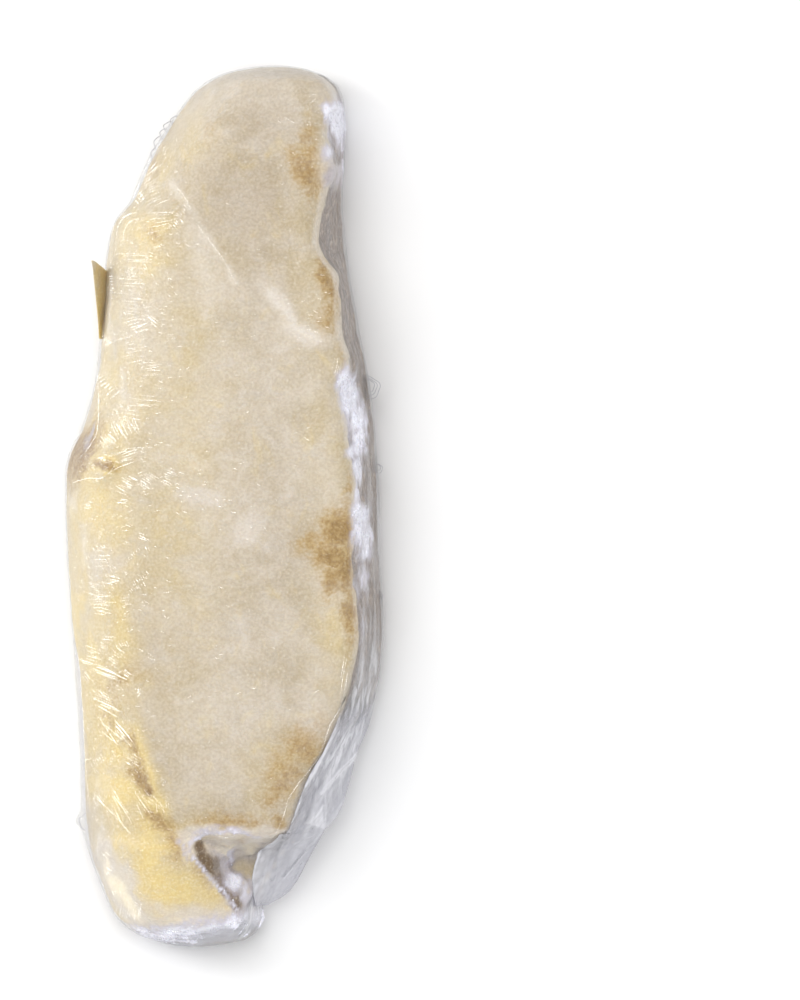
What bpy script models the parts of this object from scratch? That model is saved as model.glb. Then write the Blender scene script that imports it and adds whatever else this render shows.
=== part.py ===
"""A frozen salt-cod loin in clear shrink film, lying on its skin side.

The loin is lofted like a boat: ribs stand across its length, and an outline table
gives the two edges of each rib. A second table gives the height of the flesh at both
shoulders. Low forms, such as seams, grooves and the notch near the tail, are added
to the height of the top. The loose film that spans the notched side is a solid of
its own, lofted over the same ribs, and it ends in a thin hem.

Frame: +Y from the tail end to the head end, +X to the skin side, +Z up, metres.
The origin is on the surface that the loin lies on, under the middle of its box.
"""

import math

import bmesh
import bpy
from mathutils import Vector

# Driving dimensions, in metres.
LENGTH = 0.2080
WIDTH = 0.0745
HEIGHT = 0.0400

# The loin's side, seen across a rib.
WAIST = 0.0065  # height of the widest line round the loin
SOFT_EDGE = 0.0180  # how far the thin belly side takes to rise to the top
SOFT_POWER = 2.2
WALL_SPREAD = 1.3  # the skin side takes this many times its wall to rise to the top
WALL_POWER = 1.6
BASE_EDGE = 0.0060  # rounding where the sides turn under
TAIL_EDGE = 0.0110  # the slanting wall at the tail end
HEAD_EDGE = 0.0055  # rounding of the top at the head end
CROWN = 0.0012  # how much the top bulges in the middle

# How finely the loin is made.
STATION_STEP = 0.0038
NOTCH_STEP = 0.0018
END_STEPS = 3
BELLY_STEPS = 17  # across the top, from the belly edge to the notch line
LIP_STEPS = 3  # across the notch's side
BACK_STEPS = 20  # from there to the skin side
BASE_STEPS = 10
EDGE_CROWDING = 0.6  # 0 spaces the points of a rib evenly, 1 crowds them at its edges

# The outline from above, from the tail to the head. Each row is the share of the
# length, and the left and right edge as shares of the width from the middle line.
TAIL_TIP = (0.0, -0.090)
HEAD_TIP = (1.0, 0.165)
OUTLINE = (
    (0.010, -0.245, 0.075),
    (0.032, -0.335, 0.123),
    (0.055, -0.370, 0.112),
    (0.080, -0.398, 0.130),
    (0.120, -0.436, 0.225),
    (0.165, -0.450, 0.318),
    (0.215, -0.453, 0.388),
    (0.280, -0.462, 0.473),
    (0.345, -0.474, 0.500),
    (0.440, -0.493, 0.495),
    (0.515, -0.500, 0.489),
    (0.553, -0.493, 0.484),
    (0.590, -0.447, 0.477),
    (0.640, -0.407, 0.460),
    (0.700, -0.388, 0.426),
    (0.780, -0.370, 0.388),
    (0.822, -0.345, 0.377),
    (0.848, -0.292, 0.373),
    (0.900, -0.230, 0.381),
    (0.955, -0.128, 0.379),
    (0.982, -0.052, 0.345),
    (0.995, 0.045, 0.268),
)

# The height of the left and right shoulder as shares of the height, and how far the
# right shoulder stands in from the loin's widest line, in metres.
SHOULDERS = (
    (0.00, 0.66, 0.60, 0.0060),
    (0.07, 0.73, 0.64, 0.0065),
    (0.13, 0.75, 0.80, 0.0072),
    (0.19, 0.76, 0.91, 0.0082),
    (0.28, 0.76, 0.97, 0.0074),
    (0.45, 0.75, 1.00, 0.0060),
    (0.61, 0.74, 0.99, 0.0072),
    (0.66, 0.74, 0.98, 0.0045),
    (0.73, 0.75, 0.96, 0.0034),
    (0.80, 0.76, 0.94, 0.0060),
    (0.88, 0.76, 0.90, 0.0036),
    (1.00, 0.73, 0.80, 0.0030),
)

# Seams (raised) and grooves (sunk) on the top: the points that the line runs through,
# as shares of the width and the length, then its half width and height in metres.
SEAMS = (
    (((-0.120, 0.830), (0.010, 0.770), (0.142, 0.713)), 0.0022, 0.0007),
    (((0.165, 0.723), (0.282, 0.680), (0.370, 0.690)), 0.0026, 0.0008),
    (((-0.340, 0.575), (-0.120, 0.545), (0.070, 0.487)), 0.0040, 0.0006),
    (((-0.470, 0.515), (-0.400, 0.530), (-0.330, 0.565)), 0.0032, 0.0020),
    (((-0.455, 0.560), (-0.390, 0.600), (-0.375, 0.650)), 0.0030, -0.0020),
    (((-0.332, 0.255), (-0.247, 0.180), (-0.100, 0.130)), 0.0034, -0.0020),
    (((0.310, 0.870), (0.300, 0.805), (0.360, 0.770)), 0.0030, -0.0010),
)

# The notch at the tail end, open to the skin side: its corners in the plan.
NOTCH = ((-0.105, 0.128), (0.060, 0.042), (0.330, 0.042), (0.330, 0.133))
NOTCH_FLOOR = 0.0140
NOTCH_LIP = 0.0048  # how far its sides take to fall
# A line of points runs along the loin and follows the notch's slanting side.
NOTCH_LINE = (
    (0.000, 0.000),
    (0.042, 0.060),
    (0.085, -0.023),
    (0.128, -0.105),
    (0.200, -0.070),
    (0.400, -0.020),
    (0.800, -0.010),
    (1.000, 0.120),
)

# Long low waves of the flesh: across and along wavelengths, phase and height.
WAVES = (
    (0.090, 0.062, 0.4, 0.0005),
    (0.041, 0.083, 2.1, 0.0004),
    (0.060, -0.037, 4.0, 0.0003),
)

# The free leaf of belly skin on the left, from its pointed top to its foot.
LEAF_TOP = 0.779  # share of the length
LEAF_FOOT = 0.690
LEAF_REACH = 0.0037  # how far its rim stands out from the loin's edge
LEAF_HEIGHTS = (0.0205, 0.0140)  # of its rim, at the top and at the foot
LEAF_ROOT = (0.0025, 0.0080)  # depth in the loin and height of the line it grows from
LEAF_THICKNESS = 0.0010
LEAF_STEPS = 7

# The loose film. Its hem is given by the share of the length, its reach as a share of
# the width from the middle line, and its height in metres.
HEM = (
    (0.048, 0.152, 0.0075),
    (0.062, 0.200, 0.0088),
    (0.080, 0.240, 0.0102),
    (0.103, 0.275, 0.0115),
    (0.134, 0.320, 0.0125),
    (0.158, 0.376, 0.0120),
    (0.190, 0.402, 0.0110),
    (0.220, 0.424, 0.0100),
    (0.268, 0.478, 0.0075),
)
# Where the film leaves the flesh, as far as it spans the notch: the share of the
# length, the place across as a share of the width, and the height in metres.
SPAN = (
    (0.048, 0.092, 0.0175),
    (0.064, 0.086, 0.0200),
    (0.085, 0.090, 0.0225),
    (0.108, 0.112, 0.0260),
    (0.128, 0.150, 0.0300),
)
FILM_GAP = 0.0008
FILM_THICKNESS = 0.0008
FILM_FLOOR = 0.0022  # height of its underside
HEM_LEAST = 0.0010  # least reach of the hem past the loin
FOLD_HEIGHT = 0.0010
FOLD_RUN = 0.072  # share of the length from one fold of the film to the next
WALL_SAMPLES = 60
WALL_POINTS = 14
SPAN_POINTS = 8


def clear_scene():
    for thing in list(bpy.data.objects):
        bpy.data.objects.remove(thing, do_unlink=True)


def material(name, colour, roughness, clearness=0.0):
    """A plain finish: its colour, its roughness and how much light it lets through."""
    made = bpy.data.materials.new(name)
    made.use_nodes = True
    shader = made.node_tree.nodes["Principled BSDF"]
    shader.inputs["Base Color"].default_value = (*colour, 1.0)
    shader.inputs["Roughness"].default_value = roughness
    shader.inputs["Metallic"].default_value = 0.0
    shader.inputs["Transmission Weight"].default_value = clearness
    return made


def smooth_step(share):
    share = min(max(share, 0.0), 1.0)
    return share * share * (3.0 - 2.0 * share)


def through(points, place):
    """The value at place on a smooth curve through points, which lie at 0, 1, 2 and so on."""
    last = len(points) - 1
    first = min(max(int(place), 0), last - 1)
    t = place - first
    a, b, c, d = (points[min(max(first + k, 0), last)] for k in (-1, 0, 1, 2))
    return 0.5 * (
        2.0 * b
        + (c - a) * t
        + (2.0 * a - 5.0 * b + 4.0 * c - d) * t**2
        + (3.0 * b - a - 3.0 * c + d) * t**3
    )


def table_at(table, share):
    """The other columns of a table, read on smooth curves at a share of the length."""
    share = min(max(share, table[0][0]), table[-1][0])
    row = 0
    while row < len(table) - 2 and share > table[row + 1][0]:
        row += 1
    place = row + (share - table[row][0]) / (table[row + 1][0] - table[row][0])
    return [through(column, place) for column in list(zip(*table))[1:]]


def outline_columns():
    """The outline's length, left and right edge at the two tips and at every row.

    One row is repeated past each tip with its edges swapped, so that the outline runs
    round the tips in one smooth curve.
    """
    first, last = OUTLINE[0], OUTLINE[-1]
    rows = [(TAIL_TIP[0], TAIL_TIP[1], TAIL_TIP[1]), *OUTLINE]
    rows.append((HEAD_TIP[0], HEAD_TIP[1], HEAD_TIP[1]))
    past_tail = (first[0], first[2], first[1])
    past_head = (last[0], last[2], last[1])
    return list(zip(past_tail, *rows, past_head))


def station(place):
    """The rib at any place, from 0 at the tail tip to one for each row of the outline."""
    along, left, right = (through(column, place + 1.0) for column in outline_columns())
    low, high, wall = table_at(SHOULDERS, along)
    return {
        "share": along,
        "y": (along - 0.5) * LENGTH,
        "left": left * WIDTH,
        "right": right * WIDTH,
        "left_height": low * HEIGHT,
        "right_height": high * HEIGHT,
        "wall": wall,
    }


def stations():
    """The ribs that the loin is made of, the two tips left out."""
    shares = [TAIL_TIP[0], *(row[0] for row in OUTLINE), HEAD_TIP[0]]
    last = len(shares) - 2
    places = []
    for k in range(last + 1):
        run = (shares[k + 1] - shares[k]) * LENGTH
        by_notch = NOTCH[1][1] < shares[k + 1] and shares[k] < NOTCH[-1][1]
        steps = max(1, round(run / (NOTCH_STEP if by_notch else STATION_STEP)))
        if k in (0, last):
            steps = END_STEPS
        places += [k + n / steps for n in range(steps)]
    return [station(place) for place in places[1:]]


def rise(distance, reach, power):
    """A rounded rise from 0 at an edge to 1 at reach from it."""
    if distance >= reach:
        return 1.0
    return (1.0 - (1.0 - max(distance, 0.0) / reach) ** power) ** (1.0 / power)


def in_plan(across, along):
    """A point of the plan from shares of the width and the length."""
    return Vector((across * WIDTH, (along - 0.5) * LENGTH))


def distance_to_line(point, line):
    best = math.inf
    for start, end in zip(line, line[1:]):
        span = end - start
        t = min(max((point - start).dot(span) / span.length_squared, 0.0), 1.0)
        best = min(best, (point - start - t * span).length)
    return best


def depth_inside(point, corners):
    """How far a point is inside a convex outline, whose corners run anticlockwise."""
    depths = []
    for start, end in zip(corners, [*corners[1:], corners[0]]):
        side = (end - start).normalized()
        depths.append(side.cross(point - start))
    return min(depths)


def relief(x, y):
    """Seams, grooves and waves: what is added to the top's height."""
    point = Vector((x, y))
    height = 0.0
    for line, half_width, lift in SEAMS:
        path = [in_plan(*spot) for spot in line]
        height += lift * math.exp(-((distance_to_line(point, path) / half_width) ** 2))
    for across, along, phase, lift in WAVES:
        height += lift * math.sin(math.tau * (x / across + y / along) + phase)
    return height


def notched(height, x, y):
    """The height lowered to the notch's floor where the point is inside the notch."""
    corners = [in_plan(*spot) for spot in NOTCH]
    sunk = smooth_step(depth_inside(Vector((x, y)), corners) / NOTCH_LIP)
    return height + (min(NOTCH_FLOOR, height) - height) * sunk


def end_rise(rib, tail_reach, head_reach):
    """How far the loin has risen at this rib from the nearer tip."""
    from_tail = rib["share"] * LENGTH
    at_tail = rise(from_tail, tail_reach, WALL_POWER)
    return at_tail * rise(LENGTH - from_tail, head_reach, 2.0)


def top_height(rib, x):
    """Height of the loin's upper side at x on a rib."""
    width = rib["right"] - rib["left"]
    share = (x - rib["left"]) / width
    slope = smooth_step(share)
    height = rib["left_height"] * (1.0 - slope) + rib["right_height"] * slope
    height += CROWN * math.sin(math.pi * share) + relief(x, rib["y"])
    height = notched(height, x, rib["y"])
    soft = min(SOFT_EDGE, 0.45 * width)
    wall = min(WALL_SPREAD * rib["wall"], 0.35 * width)
    edges = rise(x - rib["left"], soft, SOFT_POWER) * rise(rib["right"] - x, wall, WALL_POWER)
    return WAIST + (height - WAIST) * edges * end_rise(rib, TAIL_EDGE, HEAD_EDGE)


def base_height(rib, x):
    """Height of the loin's underside at x on a rib: flat, and rounded up at its edge."""
    edge = min(BASE_EDGE, 0.45 * (rib["right"] - rib["left"]))
    inside = rise(x - rib["left"], edge, 2.0) * rise(rib["right"] - x, edge, 2.0)
    return WAIST * (1.0 - inside * end_rise(rib, BASE_EDGE, BASE_EDGE))


def crowded(edge, inner, steps):
    """Places from an edge to a place inside it, closer together near the edge."""
    places = []
    for n in range(steps + 1):
        even = n / steps
        round_share = 1.0 - math.cos(0.5 * math.pi * even)
        share = even + EDGE_CROWDING * (round_share - even)
        places.append(edge + share * (inner - edge))
    return places


def top_places(rib):
    """Places across the top, with a few between the notch's rim and its foot."""
    width = rib["right"] - rib["left"]
    (line,) = table_at(NOTCH_LINE, rib["share"])
    rim = min(max(line * WIDTH, rib["left"] + 0.3 * width), rib["right"] - 0.4 * width)
    foot = rim + min(1.1 * NOTCH_LIP, 0.2 * width)
    belly = crowded(rib["left"], rim, BELLY_STEPS)
    lip = [rim + (foot - rim) * n / LIP_STEPS for n in range(1, LIP_STEPS)]
    back = crowded(rib["right"], foot, BACK_STEPS)
    return belly + lip + back[::-1]


def base_places(rib):
    middle = 0.5 * (rib["left"] + rib["right"])
    left = crowded(rib["left"], middle, BASE_STEPS // 2)
    right = crowded(rib["right"], middle, BASE_STEPS // 2)
    return left + right[-2::-1]


def loin_ring(rib):
    """One closed section of the loin: over the top from left to right, and back under."""
    y = rib["y"]
    over = [Vector((x, y, top_height(rib, x))) for x in top_places(rib)]
    under = [Vector((x, y, base_height(rib, x))) for x in base_places(rib)]
    return over + under[-2:0:-1]


def mesh_object(name, shape, finish):
    """An object from a bmesh, with its faces turned outwards and rounded in shading.

    Its four-sided faces are split along their shorter diagonal, which keeps slanting
    edges, such as the notch's side, straight.
    """
    bmesh.ops.recalc_face_normals(shape, faces=shape.faces)
    bmesh.ops.triangulate(shape, faces=shape.faces, quad_method="SHORT_EDGE")
    mesh = bpy.data.meshes.new(name)
    shape.to_mesh(mesh)
    shape.free()
    mesh.shade_smooth()
    mesh.set_sharp_from_angle(angle=math.radians(50.0))
    mesh.materials.append(finish)
    made = bpy.data.objects.new(name, mesh)
    bpy.context.scene.collection.objects.link(made)
    return made


def skin_rings(shape, rings):
    """Bridges each ring of points to the next, and returns the rings' vertices."""
    rows = [[shape.verts.new(point) for point in ring] for ring in rings]
    for near, far in zip(rows, rows[1:]):
        for n in range(len(near)):
            after = (n + 1) % len(near)
            shape.faces.new((near[n], near[after], far[after], far[n]))
    return rows


def close_with_tip(shape, row, tip):
    point = shape.verts.new(tip)
    for n, corner in enumerate(row):
        shape.faces.new((corner, row[(n + 1) % len(row)], point))


def make_loin(finish):
    shape = bmesh.new()
    rows = skin_rings(shape, [loin_ring(rib) for rib in stations()])
    for row, (along, across) in ((rows[0], TAIL_TIP), (rows[-1], HEAD_TIP)):
        close_with_tip(shape, row, (*in_plan(across, along), WAIST))
    return mesh_object("cod_loin", shape, finish)


def nearest_station(share):
    return min(stations(), key=lambda rib: abs(rib["share"] - share))


def leaf_ring(n):
    """A thin slanting section of the leaf: its rim stands out and up from its root."""
    down = n / LEAF_STEPS
    share = LEAF_TOP + (LEAF_FOOT - LEAF_TOP) * down
    edge = nearest_station(share)["left"]
    y = (share - 0.5) * LENGTH
    reach = LEAF_REACH * (1.0 - down) ** 1.2
    height = LEAF_HEIGHTS[0] + (LEAF_HEIGHTS[1] - LEAF_HEIGHTS[0]) * down
    rim = Vector((edge - reach, y, height))
    root = Vector((edge + LEAF_ROOT[0], y, LEAF_ROOT[1]))
    if n == 0:
        root = rim.lerp(root, 0.12)
    slant = (rim - root).normalized()
    across = Vector((slant.z, 0.0, -slant.x)) * (0.5 * LEAF_THICKNESS)
    return [root + across, rim + 0.4 * across, rim - 0.4 * across, root - across]


def make_leaf(finish):
    shape = bmesh.new()
    rows = skin_rings(shape, [leaf_ring(n) for n in range(LEAF_STEPS + 1)])
    shape.faces.new(rows[0])
    shape.faces.new(rows[-1])
    return mesh_object("skin_leaf", shape, finish)


def join_by_union(body, addition):
    """Joins addition to body by a Boolean, and keeps it only as a hidden helper."""
    union = body.modifiers.new("Union", "BOOLEAN")
    union.operation = "UNION"
    union.solver = "EXACT"
    union.object = addition
    addition.hide_render = True
    addition.display_type = "WIRE"


def pushed_out(line, distance):
    """A line in the plane of a rib, moved to its upper right by distance."""
    moved = []
    for n, point in enumerate(line):
        run = line[min(n + 1, len(line) - 1)] - line[max(n - 1, 0)]
        moved.append(point + Vector((-run.z, 0.0, run.x)).normalized() * distance)
    return moved


def evenly_spaced(line, count):
    """count points along a line, at equal distances, with both of its ends."""
    lengths = [0.0]
    for start, end in zip(line, line[1:]):
        lengths.append(lengths[-1] + (end - start).length)
    points = []
    segment = 0
    for n in range(count):
        wanted = lengths[-1] * n / (count - 1)
        while segment < len(line) - 2 and lengths[segment + 1] < wanted:
            segment += 1
        run = lengths[segment + 1] - lengths[segment]
        t = (wanted - lengths[segment]) / run if run else 0.0
        points.append(line[segment].lerp(line[segment + 1], min(t, 1.0)))
    return points


def side_line(rib, start_x):
    """The loin's side as a line of points, from start_x over the shoulder and down."""
    y = rib["y"]
    run = rib["right"] - start_x
    line = []
    for n in range(WALL_SAMPLES + 1):
        x = start_x + run * math.sin(0.5 * math.pi * n / WALL_SAMPLES)
        line.append(Vector((x, y, top_height(rib, x))))
    return line


def film_ring(rib):
    """One section of the loose film: down the loin's side, out to the hem and back up."""
    y = rib["y"]
    share = rib["share"]
    reach, hem_height = table_at(HEM, share)
    hem_x = max(reach * WIDTH, rib["right"] + FILM_GAP + HEM_LEAST)
    hem = Vector((hem_x, y, hem_height))
    if share <= SPAN[-1][0]:
        across, height = table_at(SPAN, share)
        side = pushed_out(side_line(rib, across * WIDTH), FILM_GAP)
        side = [Vector((side[0].x, y, height)), *side]
    else:
        side = pushed_out(side_line(rib, rib["right"] - 2.0 * rib["wall"]), FILM_GAP)
        slopes = [(point.z - hem.z) / (hem.x - point.x) for point in side]
        side = side[slopes.index(max(slopes)) :]
    start = side[0] + Vector((0.0, 0.0, FILM_THICKNESS))
    foot = Vector((rib["right"] + FILM_GAP, y, FILM_FLOOR))
    inner = [*evenly_spaced(side, WALL_POINTS), foot]
    lip = Vector((0.0, 0.0, 0.5 * FILM_THICKNESS))
    outer = []
    for n in range(SPAN_POINTS):
        out = (n + 1) / (SPAN_POINTS + 1)
        point = (hem + lip).lerp(start, out)
        fold = 0.5 + 0.5 * math.sin(math.tau * (share / FOLD_RUN + 0.4 * out))
        point.z += FOLD_HEIGHT * fold * math.sin(math.pi * out)
        outer.append(point)
    return [*inner, hem - lip, hem + lip, *outer, start]


def make_loose_film(finish):
    spanned = [rib for rib in stations() if HEM[0][0] < rib["share"] < HEM[-1][0]]
    shape = bmesh.new()
    rows = skin_rings(shape, [film_ring(rib) for rib in spanned])
    shape.faces.new(rows[0])
    shape.faces.new(rows[-1])
    return mesh_object("loose_film", shape, finish)


def main():
    clear_scene()
    flesh = material("flesh", (0.66, 0.55, 0.37), 0.35)
    film = material("film", (0.80, 0.80, 0.84), 0.12, 0.8)
    loin = make_loin(flesh)
    join_by_union(loin, make_leaf(flesh))
    make_loose_film(film)


main()
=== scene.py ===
# %% [markdown]
# # A frozen cod loin in shrink film
#
# A cod loin that was salted, soaked and deep-frozen lies skin side down in tight clear
# film. This lesson builds three things on top of a fixed CAD frame: the fish, the film
# that clings to it, and the loose film by the tail end. The frame gives every size.

# %% Load the frame
import math

import bmesh
import bpy
import numpy as np
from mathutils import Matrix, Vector


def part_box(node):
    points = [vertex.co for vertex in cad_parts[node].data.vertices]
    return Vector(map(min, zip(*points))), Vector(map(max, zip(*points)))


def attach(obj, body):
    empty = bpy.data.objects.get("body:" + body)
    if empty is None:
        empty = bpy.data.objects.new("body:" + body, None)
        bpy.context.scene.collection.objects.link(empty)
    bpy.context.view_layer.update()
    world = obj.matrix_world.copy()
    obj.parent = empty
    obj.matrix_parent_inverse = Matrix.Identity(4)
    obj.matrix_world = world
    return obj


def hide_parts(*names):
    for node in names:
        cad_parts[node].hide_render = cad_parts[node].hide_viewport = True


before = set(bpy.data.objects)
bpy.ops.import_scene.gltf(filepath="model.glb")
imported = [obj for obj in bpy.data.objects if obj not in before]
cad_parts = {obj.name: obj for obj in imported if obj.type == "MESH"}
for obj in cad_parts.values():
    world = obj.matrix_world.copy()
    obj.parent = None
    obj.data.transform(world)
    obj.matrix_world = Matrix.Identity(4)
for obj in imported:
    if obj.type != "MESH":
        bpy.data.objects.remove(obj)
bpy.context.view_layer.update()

FISH_SHARE = 0.983  # how much of the frame's height the fish fills: the film needs the rest
loin_low, loin_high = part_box("cod_loin")
LENGTH = loin_high.y - loin_low.y
WIDTH = loin_high.x - loin_low.x
HEIGHT = FISH_SHARE * (loin_high.z - loin_low.z)
MM = 0.001
print("loin", [round(side / MM, 1) for side in (WIDTH, LENGTH, HEIGHT)], "mm")

# %% [markdown]
# ## The camera
#
# The loin is looked at from straight above, as on a light table. A long lens from well
# away keeps the sides of the fish almost parallel. The view is as wide as two
# such loins side by side, and this one lies in its left half.

# %% Camera
VIEW_HEIGHT = 0.2357  # how much of the table the picture shows from bottom to top
VIEW_MIDDLE = (0.0417, 0.0015)
CAMERA_DISTANCE = 2.6
SENSOR = 24.0


def placed(name, data):
    """A new object in the scene."""
    made = bpy.data.objects.new(name, data)
    bpy.context.scene.collection.objects.link(made)
    return made


camera_data = bpy.data.cameras.new("top_camera")
camera_data.sensor_fit = "VERTICAL"
camera_data.sensor_height = SENSOR
camera_data.lens = SENSOR * CAMERA_DISTANCE / VIEW_HEIGHT
camera = placed("top_camera", camera_data)
camera.location = (*VIEW_MIDDLE, CAMERA_DISTANCE + 0.5 * HEIGHT)
bpy.context.scene.camera = camera
print("lens", round(camera_data.lens, 1), "mm")

# %% [markdown]
# ## Noise for shapes
#
# A frozen fish is nowhere quite flat. Blender's texture nodes bend light, but not the
# outline, so a small noise function moves the points themselves. It gives each corner of
# a lattice a number from a hash of its place, and blends the eight corners round a point.

# %% Noise on points
HASH_PRIMES = (73856093, 19349663, 83492791, 2654435761)
HASH_FACTOR = 1274126177
LOW_32_BITS = 0xFFFFFFFF
LOW_16_BITS = 0xFFFF


def corner_value(ix, iy, iz, seed):
    """A number from -1 to 1 for a corner of the lattice, always the same for the same seed."""
    by_x, by_y, by_z, by_seed = HASH_PRIMES
    mixed = ((ix * by_x) ^ (iy * by_y) ^ (iz * by_z) ^ (seed * by_seed)) & LOW_32_BITS
    mixed = ((mixed ^ (mixed >> 13)) * HASH_FACTOR) & LOW_32_BITS
    return ((mixed ^ (mixed >> 16)) & LOW_16_BITS) / (0.5 * LOW_16_BITS) - 1.0


def soft_noise(points, size, seed):
    """Smooth noise from -1 to 1 at an array of points, with lumps about size across."""
    scaled = points / size
    whole = np.floor(scaled).astype(np.int64)
    part = scaled - whole
    part = part * part * (3.0 - 2.0 * part)
    total = 0.0
    for corner in range(8):
        step = np.array([corner & 1, (corner >> 1) & 1, corner >> 2])
        weight = np.prod(np.where(step == 1, part, 1.0 - part), axis=-1)
        place = whole + step
        total = total + weight * corner_value(place[..., 0], place[..., 1], place[..., 2], seed)
    return total


def rough_noise(points, size, seed, layers=3):
    """Noise with finer noise on top, as on a broken or frozen surface."""
    total = 0.0
    for n in range(layers):
        total = total + soft_noise(points, size / 2**n, seed + 17 * n) / 2**n
    return total


def noise_pair(points, size, seed):
    """Two noises at once, for shifting a place across and along."""
    return np.stack([rough_noise(points, size, seed), rough_noise(points, size, seed + 1)])


probe = soft_noise(np.random.default_rng(1).uniform(0, 1, (2000, 3)), 0.1, 3)
print("noise from", round(float(probe.min()), 2), "to", round(float(probe.max()), 2))

# %% [markdown]
# ## The form of the loin
#
# The loin follows no simple rule, so it is lofted like a boat: a table of offsets gives
# its two edges along the length, and another the height of the flesh at both shoulders.
# A smooth curve through the rows fills in what lies between them.

# %% Tables of the loin's form
TAIL_TIP = (0.0, -0.090)
HEAD_TIP = (1.0, 0.165)
OUTLINE = (
    (0.010, -0.245, 0.075),
    (0.032, -0.335, 0.123),
    (0.055, -0.370, 0.112),
    (0.080, -0.398, 0.130),
    (0.120, -0.436, 0.225),
    (0.165, -0.450, 0.318),
    (0.215, -0.453, 0.388),
    (0.280, -0.462, 0.473),
    (0.345, -0.474, 0.500),
    (0.440, -0.493, 0.495),
    (0.515, -0.500, 0.489),
    (0.553, -0.493, 0.484),
    (0.590, -0.447, 0.477),
    (0.640, -0.407, 0.460),
    (0.700, -0.388, 0.426),
    (0.780, -0.370, 0.388),
    (0.822, -0.345, 0.377),
    (0.848, -0.292, 0.373),
    (0.900, -0.230, 0.381),
    (0.955, -0.128, 0.379),
    (0.982, -0.052, 0.345),
    (0.995, 0.045, 0.268),
)
SHOULDER_HEIGHTS = (
    (0.00, 0.66, 0.60),
    (0.07, 0.73, 0.64),
    (0.13, 0.75, 0.80),
    (0.19, 0.76, 0.91),
    (0.28, 0.76, 0.97),
    (0.45, 0.75, 1.00),
    (0.61, 0.74, 0.99),
    (0.66, 0.74, 0.98),
    (0.73, 0.75, 0.96),
    (0.80, 0.76, 0.94),
    (0.88, 0.76, 0.90),
    (1.00, 0.73, 0.80),
)
# Where the flesh ends and the skin side begins, seen from above: the share of the
# length, and the place across in millimetres.
SKIN_LINE = (
    (0.000, 2.0),
    (0.050, 5.0),
    (0.100, 10.0),
    (0.131, 15.3),
    (0.168, 18.1),
    (0.196, 20.5),
    (0.224, 24.0),
    (0.264, 27.6),
    (0.303, 29.9),
    (0.349, 31.6),
    (0.394, 31.3),
    (0.440, 30.4),
    (0.507, 31.3),
    (0.564, 29.9),
    (0.592, 29.0),
    (0.621, 27.6),
    (0.637, 27.3),
    (0.655, 29.9),
    (0.700, 28.0),
    (0.734, 27.6),
    (0.762, 26.9),
    (0.779, 24.3),
    (0.798, 22.4),
    (0.824, 23.1),
    (0.856, 24.3),
    (0.879, 26.4),
    (0.892, 25.7),
    (0.926, 24.7),
    (0.972, 26.4),
    (1.000, 20.0),
)


def through(points, place):
    """Values at places on a smooth curve through points, which lie at 0, 1, 2 and so on."""
    points = np.asarray(points, float)
    last = len(points) - 1
    first = np.clip(np.floor(place).astype(int), 0, last - 1)
    t = place - first
    a, b, c, d = (points[np.clip(first + k, 0, last)] for k in (-1, 0, 1, 2))
    return 0.5 * (
        2.0 * b
        + (c - a) * t
        + (2.0 * a - 5.0 * b + 4.0 * c - d) * t**2
        + (3.0 * b - a - 3.0 * c + d) * t**3
    )


def table_at(table, share):
    """The other columns of a table at shares of the length."""
    rows = np.asarray(table, float)
    share = np.clip(share, rows[0, 0], rows[-1, 0])
    row = np.clip(np.searchsorted(rows[:, 0], share, side="right") - 1, 0, len(rows) - 2)
    place = row + (share - rows[row, 0]) / (rows[row + 1, 0] - rows[row, 0])
    return [through(rows[:, k], place) for k in range(1, rows.shape[1])]


print("outline rows", len(OUTLINE), "skin line rows", len(SKIN_LINE))

# %% [markdown]
# ## Ribs
#
# The ribs stand closer together at both tips, where the outline turns fast. Each rib
# carries its edges and shoulders, and the skin line says how steep its back is.

# %% Ribs from tail to head
RIB_STEP = 0.9 * MM
TIP_STEPS = 12


def rib_places(step):
    """Places along the outline's curve, from just inside one tip to the other."""
    shares = [TAIL_TIP[0], *(row[0] for row in OUTLINE), HEAD_TIP[0]]
    last = len(shares) - 2
    near_tail = (np.arange(1, TIP_STEPS) / TIP_STEPS) ** 2
    near_head = 1.0 - ((TIP_STEPS - np.arange(TIP_STEPS)) / TIP_STEPS) ** 2
    places = [near_tail]
    for k in range(1, last):
        count = max(1, round((shares[k + 1] - shares[k]) * LENGTH / step))
        places.append(k + np.arange(count) / count)
    return np.concatenate([*places, last + near_head])


def ribs_at(places):
    """Share of the length and both edges at places on the outline's curve."""
    tips = [(share, edge, edge) for share, edge in (TAIL_TIP, HEAD_TIP)]
    # Past each tip the curve turns back on the other side, so that it is round there.
    past = [(share, right, left) for share, left, right in (OUTLINE[0], OUTLINE[-1])]
    rows = [past[0], tips[0], *OUTLINE, tips[1], past[1]]
    share, left, right = (through(column, places + 1.0) for column in zip(*rows))
    return share, left * WIDTH, right * WIDTH


share, left, right = ribs_at(rib_places(RIB_STEP))
print(len(share), "ribs, widest", round(float((right - left).max()) / MM, 1), "mm")

# %% [markdown]
# ## Seams, grooves and the notch
#
# On the real loin the flesh has a few long seams, a groove where the belly flap folds
# over, and a notch by the tail end that opens to the skin side. Each is a path or a
# polygon in the plan, and its distance from a point gives the height that it adds.

# %% Low forms on the top
SLAB_EDGE = ((-26.5, -30), (-24.7, -51), (-19.3, -65.6), (-13, -73.5), (-7.5, -77.3))
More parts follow.
